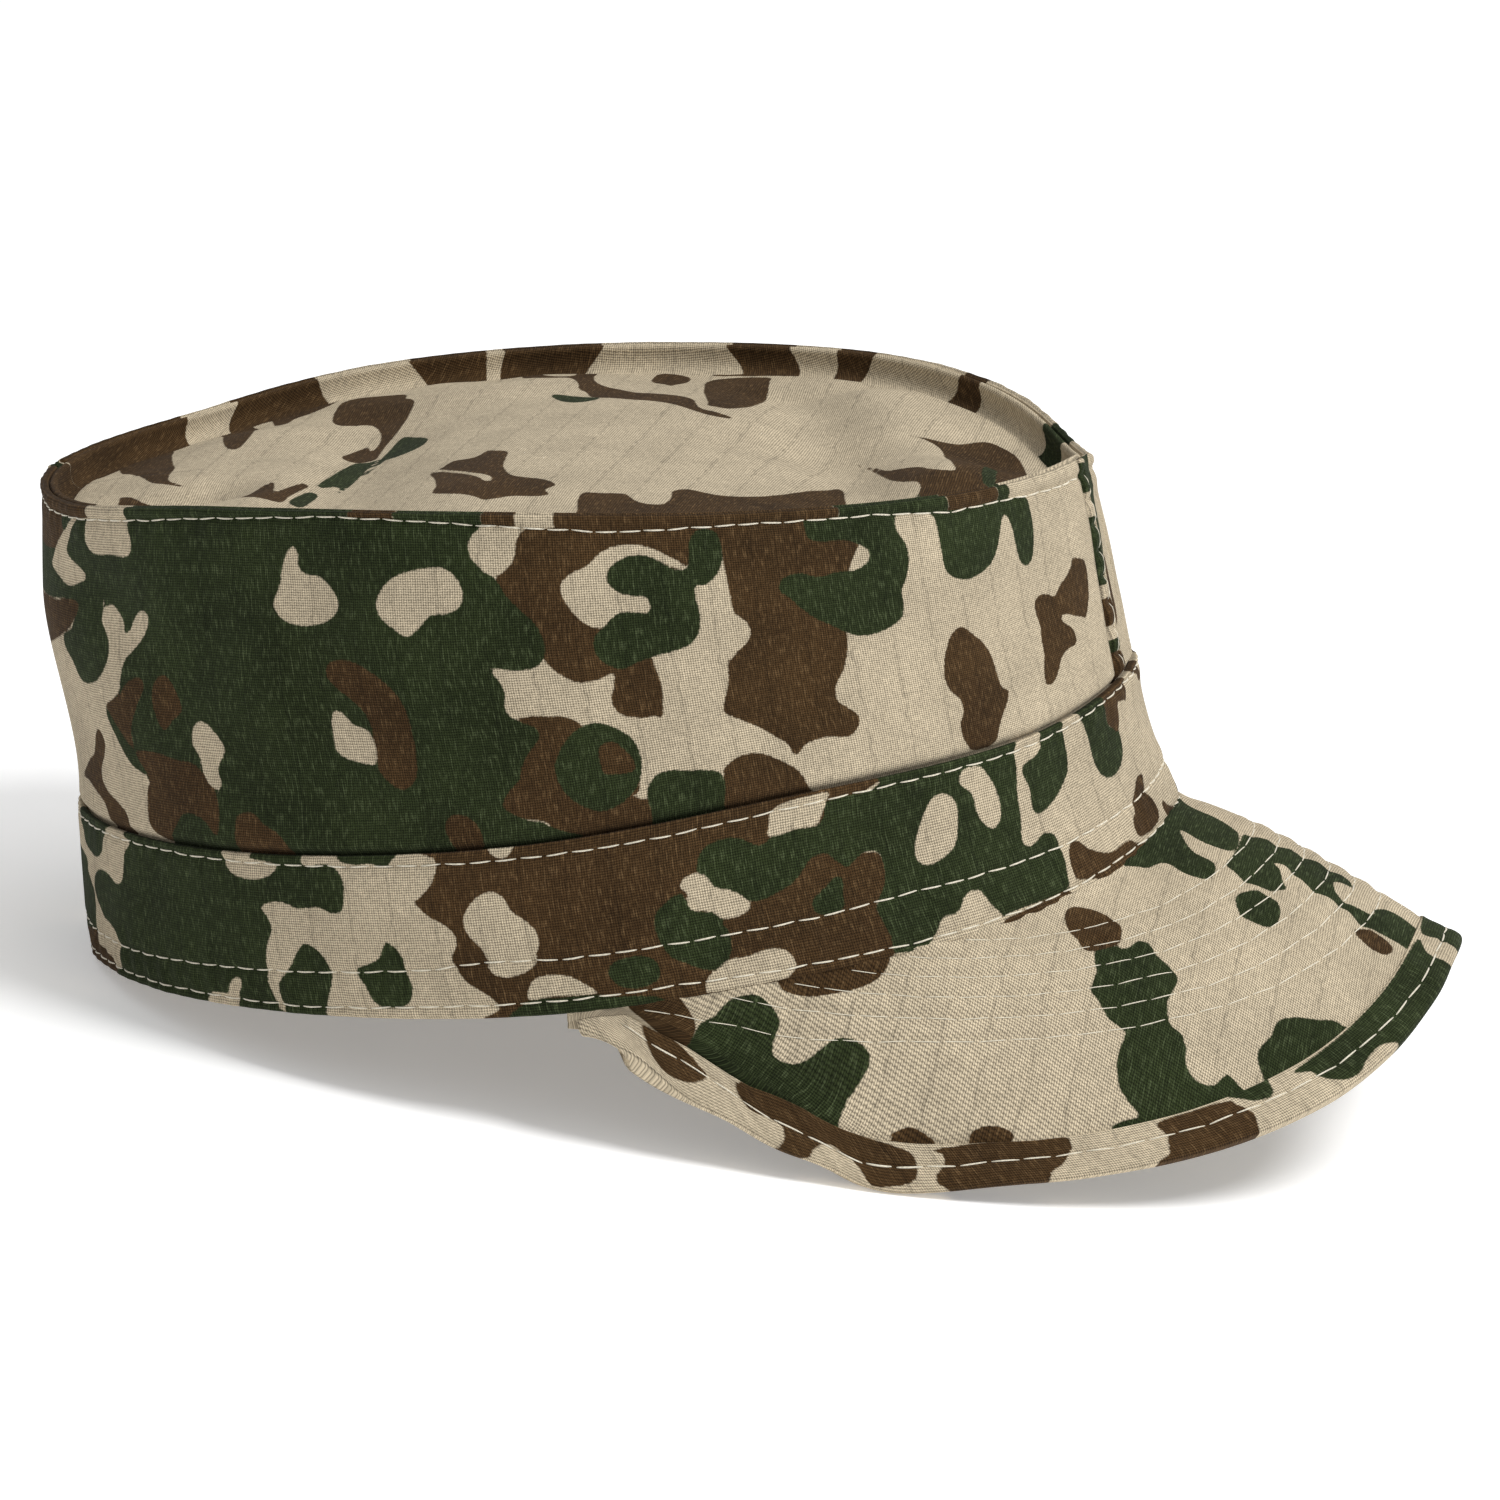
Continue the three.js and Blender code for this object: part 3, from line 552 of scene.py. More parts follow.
def make_camouflage(name):
    """Printed cloth: brown laid on the sand ground and green over it, with the print's edges broken
    up by the threads, bare light threads showing through the dark inks, and painted shade between the
    threads."""
    material, tree = new_material(name)
    woven = add_node(tree, "ShaderNodeGroup", node_tree=weave)
    woven.inputs[0].default_value = 0.46
    cloth = add_node(tree, "ShaderNodeUVMap", uv_map="cloth").outputs[0]
    fray = add_node(tree, "ShaderNodeTexNoise", {"Vector": cloth, "Scale": 1.6, "Detail": 2.0})
    light, dark = (light_of(sand_colour, k) for k in (1.05, 0.88))
    ground = blend_colours(tree, remap(tree, woven.outputs["Tone"], 0.3, 0.7, 0, 1), dark, light)
    shares = []
    for label in ("brown", "green"):
        away = add_node(tree, "ShaderNodeAttribute", attribute_name=label).outputs["Fac"]
        away = calculate(tree, "ADD", away, remap(tree, fray.outputs[0], 0, 1, -0.3, 0.3))
        shares.append(remap(tree, away, -0.14, 0.14, 1, 0))
    inked = []
    for colour, pale, deep in ((brown_colour, (120, 96, 66), 0.7), (green_colour, (92, 102, 72), 0.7)):
        tone = remap(tree, woven.outputs["Tone"], 0.3, 0.7, 0, 1)
        ink = blend_colours(tree, tone, light_of(colour, deep), light_of(colour, 1.12))
        worn = calculate(tree, "MULTIPLY", woven.outputs["Thick threads"], 0.36)
        inked.append(blend_colours(tree, worn, ink, light_of(pale)))
    colour = blend_colours(tree, shares[0], ground, inked[0])
    colour = blend_colours(tree, shares[1], colour, inked[1])
    # Painted shade: the cloth is darker where the weave's threads lie low, in the gaps between them. It is
    # then multiplied by real grain: noise, a random tone for each crossing, the thicker threads and the reed
    # marks.
    weave_shade_and_grain = remap(tree, woven.outputs["Height"], 0.1, 0.85, 0.3, 1.4)
    fuzz = add_node(tree, "ShaderNodeTexNoise", {"Vector": cloth, "Scale": 2.4, "Detail": 2.0}).outputs[0]
    for tint in (
        remap(tree, fuzz, 0.3, 0.7, 0.95, 1.05),
        remap(tree, woven.outputs["Crossings"], 0, 1, 0.86, 1.14),
        remap(tree, woven.outputs["Thick threads"], 0, 1, 0.94, 1.1),
        remap(tree, woven.outputs["Reed marks"], 0, 1, 1, 0.76),
    ):
        weave_shade_and_grain = calculate(tree, "MULTIPLY", weave_shade_and_grain, tint)
    grey = add_node(tree, "ShaderNodeCombineColor", {0: weave_shade_and_grain, 1: weave_shade_and_grain, 2: weave_shade_and_grain}).outputs[0]
    colour = blend_colours(tree, 1.0, colour, grey, "MULTIPLY")
    finish_cloth(material, woven, colour, 0.7)
    return material


def make_lining(name):
    """The cloth's bare inner side, with painted shade between its threads."""
    material, tree = new_material(name)
    woven = add_node(tree, "ShaderNodeGroup", node_tree=weave)
    woven.inputs[0].default_value = 0.55
    tone = remap(tree, woven.outputs["Tone"], 0.3, 0.7, 0, 1)
    colour = blend_colours(tree, tone, light_of((176, 160, 134)), light_of((192, 178, 152)))
    # Painted shade: blends towards dark brown where the weave's threads lie low, in the gaps between them.
    colour = blend_colours(tree, remap(tree, woven.outputs["Height"], 0.1, 0.8, 0.35, 0), colour,
                           light_of((120, 106, 84)))
    finish_cloth(material, woven, colour, 0.6)
    return material


def make_thread(name):
    """Cotton sewing thread: off-white, with painted light and shade on the turns of its twist."""
    material, tree = new_material(name)
    place = add_node(tree, "ShaderNodeTexCoord").outputs["Object"]
    twist = add_node(tree, "ShaderNodeTexNoise", {"Vector": place, "Scale": 2600.0, "Detail": 1.0})
    # Painted light and shade: lighter where the twist's noise stands high, as on the raised turns, and darker
    # in the grooves between them. The bump uses the same noise.
    tint = remap(tree, twist.outputs[0], 0.35, 0.65, 0, 1)
    colour = blend_colours(tree, tint, light_of(thread_colour, 0.78), light_of(thread_colour, 1.08))
    shader = tree.nodes["Principled BSDF"]
    tree.links.new(colour, shader.inputs["Base Color"])
    raised = {"Height": twist.outputs[0], "Strength": 0.4, "Distance": 0.0001}
    relief = add_node(tree, "ShaderNodeBump", raised)
    tree.links.new(relief.outputs[0], shader.inputs["Normal"])
    shader.inputs["Roughness"].default_value = 0.62
    shader.inputs["Sheen Weight"].default_value = 0.2
    return material


camouflage = make_camouflage("camouflage_cloth")
lining = make_lining("cloth_inside")
thread = make_thread("sewing_thread")


def model_stitch(length, thick):
    """One stitch, modelled once: a short thread whose ends go down into the cloth."""
    deselect_all()
    bpy.ops.mesh.primitive_uv_sphere_add(segments=6, ring_count=6, radius=1)
    stitch = bpy.context.object
    bpy.ops.object.mode_set(mode="EDIT")
    bpy.ops.mesh.select_all(action="SELECT")
    bpy.ops.transform.rotate(value=math.pi / 2, orient_axis="Y", center_override=(0, 0, 0))
    bpy.ops.transform.resize(value=(length / 2, thick / 2, thick / 2), center_override=(0, 0, 0))
    bpy.ops.object.mode_set(mode="OBJECT")
    places = np.array([vertex.co for vertex in stitch.data.vertices])
    faces = [tuple(face.vertices) for face in stitch.data.polygons]
    bpy.data.objects.remove(stitch, do_unlink=True)
    places[:, 1:] *= np.sqrt(1 + (2 * places[:, :1] / length) ** 2)
    places[:, 2] -= 0.34 * (2 * places[:, 0] / length) ** 10
    return places, faces


def sewn_rows(name, stitch, rows):
    """Rows of stitches as one mesh: each row has a way to place thread along, aside and off the
    cloth, and where along it the stitches' middles lie."""
    stitch_places, stitch_faces = stitch
    places, faces = [], []
    for place, middles in rows:
        for number, middle in enumerate(middles):
            slant = 0.12 * math.sin(2.4 * number)
            along = middle + stitch_places[:, 0]
            aside = stitch_places[:, 1] + slant * stitch_places[:, 0] * 0.5
            start = len(places) * len(stitch_places)
            places.append(place(along, aside, stitch_places[:, 2] + 0.06))
            faces += [tuple(start + corner for corner in face) for face in stitch_faces]
    mesh = bpy.data.meshes.new(name)
    mesh.from_pydata(rested(np.concatenate(places)).tolist(), [], faces)
    mesh.polygons.foreach_set("use_smooth", [True] * len(mesh.polygons))
    mesh.materials.append(thread)
    mesh.update()
    piece = bpy.data.objects.new(name, mesh)
    bpy.context.collection.objects.link(piece)
    return piece


band_pitch = 4.7
# Levels of the band's three rows of stitches at turns from the back to the front
band_rows = (
    ((-180, 0.055), (-140, 0.055), (-115, 0.055), (-100, 0.08), (-75, 0.08), (-65, 0.06), (-50, 0.045),
     (-35, 0.05), (-20, 0.065), (-10, 0.045), (0, 0.045)),
    ((-180, 0.22), (-140, 0.225), (-127, 0.25), (-110, 0.28), (-100, 0.3), (-94, 0.335), (-85, 0.315),
     (-75, 0.31), (-60, 0.3), (-50, 0.32), (-40, 0.31), (-22, 0.3), (-12, 0.28), (0, 0.28)),
    ((-180, 0.95), (-140, 0.95), (-75, 0.92), (-50, 0.945), (-25, 0.945), (-15, 0.96), (0, 0.96)),
)


def band_row(number, turn):
    return looked_up(band_rows[number], -np.abs(turn))


def band_relief(turn, level):
    """How far the band's face stands off its plain shape at a place."""
    along = length_at(turn)
    relief = 0.12 * uneven(along + 20 * level, 11, 13) + 0.1 * uneven(along - 9 * level, 12, 6)
    for number in range(3):
        aside = (level - band_row(number, turn)) * band_at(turn)
        relief = relief + sewn_in(aside, along, band_pitch)
        relief = relief + 0.14 * uneven(along, 20 + number, 4.1) * np.exp(-(aside / 4.5) ** 2)
    return relief


def band_level(turn, way):
    """A level from the way up the band, whose whole numbers lie on the rows of stitches."""
    low, middle, high = (band_row(number, turn) for number in range(3))
    level = np.where(way < 1, low * way, low + (middle - low) * (way - 1))
    level = np.where(way > 2, middle + (high - middle) * (way - 2), level)
    return np.where(way > 3, high + (1 - high) * (way - 3), level)


def band_place(turn, way, depth):
    level = band_level(turn, way)
    return off_face(turn, level, band_relief(turn, level) * (1 - depth) - band_cloth * depth)


def band_stitch_place(number):
    def place(along, aside, off):
        turn = turn_at(along)
        level = band_row(number, turn) + aside / band_at(turn)
        return off_face(turn, level, off + band_relief(turn, level))
    return place


band_ways = np.concatenate([
    close_rows(0, 1, 0.14)[:-1], close_rows(1, 2, 0.1, (1, 2), 0.045, 0.2)[:-1],
    close_rows(2, 3, 0.035, (2, 3), 0.016, 0.08)[:-1], close_rows(3, 4, 0.17),
])
detail = 1
band_turns = turn_at(np.linspace(0, ring_lengths[-1], int(760 * detail)))
band_both = turned_over(band_blotches) + list(band_blotches)
band = cloth_piece(
    "band_cloth", band_turns, folded_section(band_ways, 0.42, 7), band_place,
    lambda turn, way: (length_at(turn), band_level(turn, way) * 30),
    lambda turn, way: printed(turn, band_level(turn, way), band_both, band_print_scale),
    (camouflage, lining),
)
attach(band, "root")
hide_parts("band")
long_stitch = model_stitch(4.4, 0.31)
stitch_middles = np.arange(band_pitch, ring_lengths[-1] - band_pitch, band_pitch)
band_stitches = sewn_rows(
    "band_stitches", long_stitch, [(band_stitch_place(number), stitch_middles) for number in range(3)],
)
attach(band_stitches, "root")


# The two side walls. Upright panels of the same cloth, sewn under the band at their foot and to
# the top panel round their upper edge, where a row of stitches runs just below the seam. They
# meet under the seams at the front and the back.
wall_cloth, wall_lap = 1.4, 6
wall_pitch = 4.4
# The wall comes out from behind the band over this height, to this far behind the band's face
step_height, step_back = 1.6, 0.4
# Height that the walls and the seams are mapped by, in millimetres
mapped_height = 60
# How high the stitches run under the top seam at turns from the back to the front
top_row_levels = (
    (-180, 0.955), (-150, 0.955), (-131, 0.96), (-110, 0.98), (-105, 0.985), (-95, 0.975), (-85, 0.96),
    (-75, 0.945), (-62, 0.96), (-45, 0.96), (-35, 0.935), (-27, 0.94), (-15, 0.925), (0, 0.925),
)
# Blotches of the right wall in turns and shares of its height
wall_blotches = (
    ("b", (-87.5, .81, -86, .9, -84, 1.05, -63.5, 1.05, -63.7, .9, -64.5, .86, -67.5, .83, -70, .78,
        -74, .72, -76, .64, -76.2, .56, -72.8, .55, -72.2, .5, -71.9, .44, -72.2, .37, -72.4, .335,
        -73, .345, -75, .35, -76.6, .37, -77.2, .41, -76.7, .46, -76.5, .5, -77.5, .49, -79, .48,
        -80.5, .485, -82, .515, -83, .55, -84, .6, -85.5, .7)),
    ("b", (-92, .1, -92, .2, -90, .3, -88, .37, -86, .39, -83.7, .385, -82.3, .38, -81, .36, -80, .33,
        -76, .25, -76, .12, -76.8, .11, -76, .09, -75, .08, -74.6, .03, -74.3, -.05, -86, -.05, -85.5, .05,
        -88, .08)),
    ("b", (-67.2, -.05, -67.2, .12, -66.5, .15, -65, .17, -63, .165, -61.5, .14, -60.2, .11, -59.2, .08,
        -58.5, .03, -58, -.05)),
    ("b", (-64.5, 1.05, -64, .95, -63.7, .83, -63.4, .72, -63.2, .66, -62, .62, -61.7, .58, -62.5, .54,
        -64.5, .5, -64.7, .46, -65, .41, -65.8, .35, -65.9, .32, -64.5, .29, -62.5, .25, -61, .21,
        -59.9, .18, -59.4, .14, -58.7, .145, -57.8, .17, -55.5, .18, -53, .17, -51.7, .2, -51.5, .24,
        -52.6, .275, -53.4, .3, -53.3, .35, -52, .41, -51.3, .47, -51, .54, -51.5, .6, -50, .75,
        -46.5, 1.05)),
    ("g", (-178, .7, -176, .86, -150, .86, -149, .72, -160, .68)),
    ("b", (-185, 1.05, -185, .87, -172, .85, -160, .83, -150, .88, -146, 1.05)),
    ("g", (-152, .54, -150, .5, -149, .46, -147, .445, -144, .46, -141.5, .5, -140, .55, -140, .6,
        -141.5, .65, -141.5, .7, -143, .76, -147, .79, -152, .77, -156, .73, -150, .69, -148, .66,
        -149, .61, -152, .58)),
    ("b", (-186, .62, -165, .67, -155, .68, -149, .7, -147, .68, -149, .62, -152, .585, -155, .56,
        -160, .53, -168, .49, -175, .46, -186, .46)),
    ("g", (-147, 1.05, -88, 1.05, -88.5, .95, -90, .89, -89, .84, -87.5, .81, -86.5, .76, -85, .71,
        -83.7, .67, -83, .62, -83, .575, -84, .54, -86, .53, -88.7, .54, -88, .5, -87.7, .46, -88, .42,
        -87.5, .39, -86, .365, -85.2, .35, -85.2, .32, -86.5, .28, -87.5, .24, -88, .2, -89.5, .16,
        -90, .12, -88, .08, -85.5, .05, -85, -.05, -133.5, -.05, -133.5, 0, -135, .02, -136.5, .06,
        -137, .1, -136.5, .14, -136, .17, -136.5, .19, -138, .205, -139.5, .22, -141, .26, -142, .3,
        -143, .35, -142.8, .385, -141, .41, -139, .44, -138, .49, -136.7, .54, -135, .57, -133, .61,
        -131.8, .65, -131.8, .68, -133, .69, -134.3, .67, -135.5, .63, -136.5, .62, -136.9, .65, -138, .68,
        -139.5, .7, -141, .695, -142, .72, -147, .76)),
    ("s", (-145.5, .98, -149, .93, -153, .87, -155.5, .81, -156, .785, -153, .76, -150, .74, -147, .755,
        -145.3, .775, -146.5, .8, -149.5, .83, -150, .86, -147.5, .92, -145, .98)),
    ("b", (-158, .12, -156, .15, -153, .19, -151, .21, -150, .235, -148.5, .28, -147, .305, -146, .29,
        -145.8, .26, -147, .22, -148.7, .18, -149, .14, -147.5, .11, -145, .09, -142.5, .06, -141.8, .02,
        -141.5, -.05, -147, -.05, -147.5, .03, -149, .07, -152, .095, -155, .115)),
    ("b", (-142.5, .38, -141, .41, -139, .43, -137, .47, -134.5, .49, -134, .46, -136, .4, -138, .33,
        -138.5, .27)),
    ("b", (-138, .26, -134, .27, -130, .255, -127.5, .25, -126, .22, -124.5, .17, -124.3, .1, -125, .045,
        -127, .09, -130, .1, -132, .05, -134, 0, -137, .05, -137, .14, -136, .19)),
    ("b", (-133, .42, -132, .48, -130, .5, -128.5, .44, -128.3, .4, -130, .37, -131.5, .34, -132.5, .36)),
    ("b", (-122, .08, -121.5, .11, -119.5, .12, -118, .09, -116, .06, -115, .02, -115, -.05, -122, -.05,
        -122.2, .03)),
    ("b", (-107.2, .52, -106.5, .56, -104, .565, -101.5, .53, -99.5, .48, -98.5, .42, -98.3, .34,
        -98.5, .27, -99, .22, -100.5, .19, -102, .21, -103, .25, -102.8, .3, -102.8, .36, -103.2, .41,
        -104.5, .45, -106, .48)),
    ("b", (-96.5, .08, -95.5, .11, -94, .1, -92.8, .06, -92.8, 0, -95, -.03, -96, .03)),
    ("s", (-112.7, .73, -111.8, .78, -111.3, .83, -110.5, .88, -109.6, .895, -109.2, .87, -109.3, .84,
        -108.5, .815, -107, .81, -105.8, .785, -104.9, .745, -105, .71, -106.3, .68, -108.5, .665,
        -110.5, .67, -112, .69)),
    ("s", (-100.3, .74, -99.5, .78, -98, .815, -95.5, .835, -93, .84, -91.5, .81, -90.9, .76, -91.5, .72,
        -93, .705, -94.5, .7, -95.5, .67, -97, .64, -98.5, .66, -100, .7)),
    ("s", (-127.1, .32, -126.5, .36, -125, .375, -123.5, .35, -122.2, .3, -123.5, .25, -123.6, .22,
        -123.4, .2, -124, .18, -125.3, .195, -126, .23, -126.2, .27, -127, .3)),
    ("s", (-107.8, .32, -107.6, .39, -107, .42, -106, .41, -105, .38, -103.5, .365, -102.9, .33,
        -102.9, .29, -103.4, .265, -105, .27, -106.5, .28, -107.6, .3)),
    ("s", (-144, .89, -143.5, .94, -143, 1.05, -134.5, 1.05, -134.3, .96, -133.7, .91, -133.8, .87,
        -135, .85, -138, .855, -141, .85, -143, .86)),
    ("s", (-90, .89, -89.7, .93, -88, .97, -86.5, .965, -84.5, 1, -84, 1.05, -78.2, 1.05, -78.2, 1,
        -80, .99, -82, .96, -84, .955, -85, .92, -85.2, .88, -86, .84, -87.5, .815, -89, .84)),
    ("s", (-80.7, .79, -80.7, .75, -79.8, .7, -78.5, .66, -77, .645, -76, .67, -74.5, .69, -73, .68,
        -72, .685, -71.9, .71, -72.2, .735, -73.5, .74, -75, .755, -76, .79, -75.7, .83, -74, .86, -72, .87,
        -70.5, .85, -69, .825, -67.8, .82, -67.8, .83, -69.5, .865, -71, .89, -73, .905, -75, .9,
        -76.5, .88, -78, .84, -79.5, .82)),
    ("s", (-67.3, .78, -64, .77, -63.5, .66, -62.5, .6, -64, .5, -67, .5, -68, .58, -67.2, .65)),
    ("g", (-76, .79, -75.7, .83, -74, .865, -72, .87, -70.5, .85, -69, .82, -67.7, .82, -67.3, .86,
        -67.1, .91, -66.2, .945, -65, .95, -64, .93, -63.7, .88, -63.9, .83, -64.8, .785, -66, .76,
        -67, .76, -67, .71, -66.8, .66, -67.2, .6, -68.3, .565, -70, .55, -72, .54, -74, .525, -75.5, .51,
        -77, .53, -78, .57, -77.8, .62, -76.5, .655, -75, .69, -73, .685, -72, .685, -71.9, .71,
        -72.3, .735, -73.5, .74, -75, .755)),
    ("g", (-74.5, -.05, -75, .03, -75.3, .1, -75, .13, -74, .16, -72.5, .165, -71, .155, -69, .145,
        -67.5, .125, -67.2, .08, -67.5, .02, -67.5, -.05)),
    ("g", (-84.2, .22, -83.5, .27, -82, .32, -80.5, .345, -79, .35, -77.5, .33, -76, .29, -75.4, .24,
        -75.5, .18, -76.5, .12, -78.5, .08, -80.5, .075, -82.5, .11, -83.8, .16)),
    ("b", (-79.5, .22, -79.4, .27, -78, .285, -77, .26, -76.2, .22, -76.2, .185, -78, .18, -79.3, .19)),
    ("g", (-54.2, .96, -54, .9, -52.5, .88, -50, .88, -48.5, .865, -47, .83, -47.3, .79, -49, .765,
        -51, .765, -53.5, .755, -55.5, .775, -57.5, .76, -58, .72, -57, .69, -56, .655, -54.5, .61,
        -52.5, .57, -51, .54, -50, .525, -48, .52, -45.5, .54, -44, .57, -43.6, .61, -43.5, .67, -42.7, .71,
        -42, .78, -42.1, .84, -42.8, .88, -43.1, .92, -42.8, 1.05, -54.2, 1.05)),
    ("g", (-43, .955, -41, .955, -39, .95, -37.8, .93, -37.5, .88, -37.4, .8, -37.3, .73, -36.5, .69,
        -35, .67, -33.5, .665, -31.5, .68, -30, .7, -28.5, .75, -27.6, .81, -27, .86, -26.4, .88,
        -25.8, .87, -25.2, .82, -24.8, .75, -24.2, .68, -23.3, .65, -22.4, .65, -21.5, .68, -21, .76,
        -21.1, .86, -21.4, .92, -22.5, .945, -24.5, .955, -26, .965, -26, 1.05, -43, 1.05)),
    ("b", (-40, .33, -39.5, .39, -38.5, .45, -37.5, .48, -36.2, .49, -34.7, .45, -33.2, .4, -32.4, .34,
        -32.1, .26, -31.8, .22, -30.9, .2, -31.5, .16, -32.6, .12, -33.7, .07, -34.5, .02, -36, .01,
        -38, .02, -39, .07, -39.1, .13, -38.4, .17, -38.5, .22, -39.6, .26, -40, .3)),
    ("b", (-24.2, .17, -23.9, .22, -23, .28, -22.7, .34, -22.3, .39, -22.5, .44, -22.3, .49, -21, .51,
        -19.5, .5, -18.5, .485, -17, .52, -15.2, .55, -14, .58, -13.4, .61, -12.5, .6, -11.2, .58,
        -10.8, .53, -11.2, .45, -11.8, .4, -13, .345, -13.8, .355, -15, .37, -16.5, .39, -17.7, .4,
        -18.2, .385, -17.7, .365, -16.5, .33, -16.2, .29, -16.6, .265, -18.5, .26, -20, .24, -21.2, .2,
        -22.5, .165, -23.5, .16)),
)
# Colours of the strip above the stitches and of the top's turned-up edge, from each turn on
strip_colours = (
    (-180, "b"), (-160, "b"), (-143, "s"), (-134.5, "g"), (-103, "b"), (-98, "g"), (-88.5, "b"), (-85, "s"),
    (-81, "b"), (-50, "g"), (-35.5, "b"), (-27, "g"), (-25, "s"), (0, "s"), (20, "g"), (27, "s"), (43, "b"),
    (47, "s"), (61, "b"), (66, "s"), (72, "b"), (80, "s"), (95.5, "b"), (107, "s"), (109, "b"), (118, "s"),
    (130, "b"), (142, "s"), (150, "b"), (180, "b"),
)
wall_print_scale = (1.7, 55)


def off_wall(turn, level, distance):
    """A place off the wall's face, which comes out from behind the band over its upper edge."""
    out = np.clip((level - 1) * wall_at(turn) / step_height, 0, 1)
    behind = band_cloth + cloth_gap
    return off_face(turn, level, distance - (behind + (step_back - behind) * out))


def top_row_at(turn):
    return looked_up(top_row_levels, -np.abs(turn))


def wall_relief(turn, up):
    along = length_at(turn)
    aside = (up - top_row_at(turn)) * wall_at(turn)
    relief = sewn_in(aside, along, wall_pitch)
    relief = relief + 0.22 * uneven(along + 6 * up, 31, 5.2) * np.exp(-(aside / 5) ** 2)
    relief = relief + 0.3 * smooth(aside, 0.4, 1.2)
    slow = 0.6 * uneven(along + 26 * up, 32, 17) * uneven(up * mapped_height + 0.3 * along, 33, 16)
    foot = 0.2 * uneven(along, 34, 7) * np.exp(-((up * mapped_height) / 5) ** 2)
    return relief + (slow + foot) * smooth(up, 0, 0.06)


def wall_level(turn, way):
    """A level from the way up the wall: below 0 in the lap behind the band, and above it with
    whole numbers at the band's edge, the stitches and the top seam."""
    row = top_row_at(turn)
    up = np.where(way < 1, row * way, row + (1 - row) * (way - 1))
    return np.where(way < 0, 1 + way * wall_lap / band_at(turn), 1 + up)


def wall_turn(turn, way):
    """The turn of a place on a wall. The right wall's front edge slants back towards the band."""
    up = np.clip(way, 0, 1)
    return turn + np.where(turn < 0, 2.2 * up * smooth(turn, -15, -8), 0)


def wall_place(turn, way, depth):
    turn = wall_turn(turn, way)
    level = wall_level(turn, way)
    relief = wall_relief(turn, np.maximum(level - 1, 0)) * (1 - depth)
    return off_wall(turn, level, relief - wall_cloth * depth)


def wall_stitch_place(along, aside, off):
    turn = turn_at(along)
    up = top_row_at(turn) + aside / wall_at(turn)
    return off_wall(turn, 1 + up, off + wall_relief(turn, up))


def strip_print(turn, turns_and_colours, scale):
    """How far a place on a narrow strip lies from its green and its brown."""
    distances = {"g": np.full(len(turn), 4.0), "b": np.full(len(turn), 4.0)}
    for (start, colour), (end, _) in zip(turns_and_colours, turns_and_colours[1:]):
        inside = np.minimum(turn - start, end - turn) * scale
        if colour in distances:
            distances[colour] = np.minimum(distances[colour], -inside)
    return np.clip(distances["g"], -4, 4), np.clip(distances["b"], -4, 4)


def wall_print(side):
    blotches = wall_blotches if side < 0 else turned_over(wall_blotches)

    def prints(turn, way):
        up = wall_level(turn, way) - 1
        green, brown = printed(turn, up, blotches, wall_print_scale)
        strip_green, strip_brown = strip_print(turn, strip_colours, 1.7)
        above = (way > 1) | (way < -2)
        return np.where(above, strip_green, green), np.where(above, strip_brown, brown)
    return prints


wall_ways = np.concatenate([
    np.linspace(-1, 0, 6)[:-1], close_rows(0, 1, 0.0145, (0, 1), 0.006, 0.03)[:-1], close_rows(1, 2, 0.13),
])
wall_stitches = []
for side, name in ((-1, "side_right"), (1, "side_left")):
    ends = np.sort(side * np.array([2 if side > 0 else 8, 178]))
    lengths = np.linspace(length_at(ends[0]), length_at(ends[1]), int(380 * detail))
    wall = cloth_piece(
        name + "_cloth", turn_at(lengths), folded_section(wall_ways, 0.3, 9), wall_place,
        lambda turn, way: (length_at(turn), (wall_level(turn, way) - 1) * mapped_height + 40),
        wall_print(side), (camouflage, lining),
    )
    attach(wall, "root")
    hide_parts(name)
    first, last = (length_at(turn) for turn in np.sort(side * np.array([7, 176])))
    middles = np.arange(math.ceil(first / wall_pitch), last / wall_pitch) * wall_pitch
    wall_stitches.append((wall_stitch_place, middles))
wall_thread = sewn_rows("top_seam_stitches", long_stitch, wall_stitches)
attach(wall_thread, "root")


# The seams up the middle of the front and the back. Each is a folded strip of cloth over the walls'
# ends; the thread has drawn its edges into scallops. The front one is sewn down along its right
# edge, and the back one along both.
seam_pitch = 4.6
roll_reach, groove_in = 1.9, 4.1
# Blotches up the seam strip, in millimetres from its left edge and shares of its height
seam_blotches = (
    ("g", (4.6, 1.05, 12, 1.05, 12, .9, 8, .8, 6.6, .6, 4.6, .55)),
    ("b", (4.6, .5, 6.4, .53, 7, .4, 6.6, .26, 4.6, .24)),
    ("s", (-4, 1.05, 4.3, 1.05, 4.3, -.05, -4, -.05)),
    ("g", (-4, .97, 4.3, .97, 4.3, .86, -4, .86)),
    ("g", (-4, .71, 4.3, .71, 4.3, .46, -4, .46)),
    ("b", (-4, .36, 4.3, .36, 4.3, .26, -4, .26)),
    ("g", (-4, .18, 4.3, .18, 4.3, .12, -4, .12)),
    ("b", (-4, .11, 4.3, .11, 4.3, -.05, -4, -.05)),
)


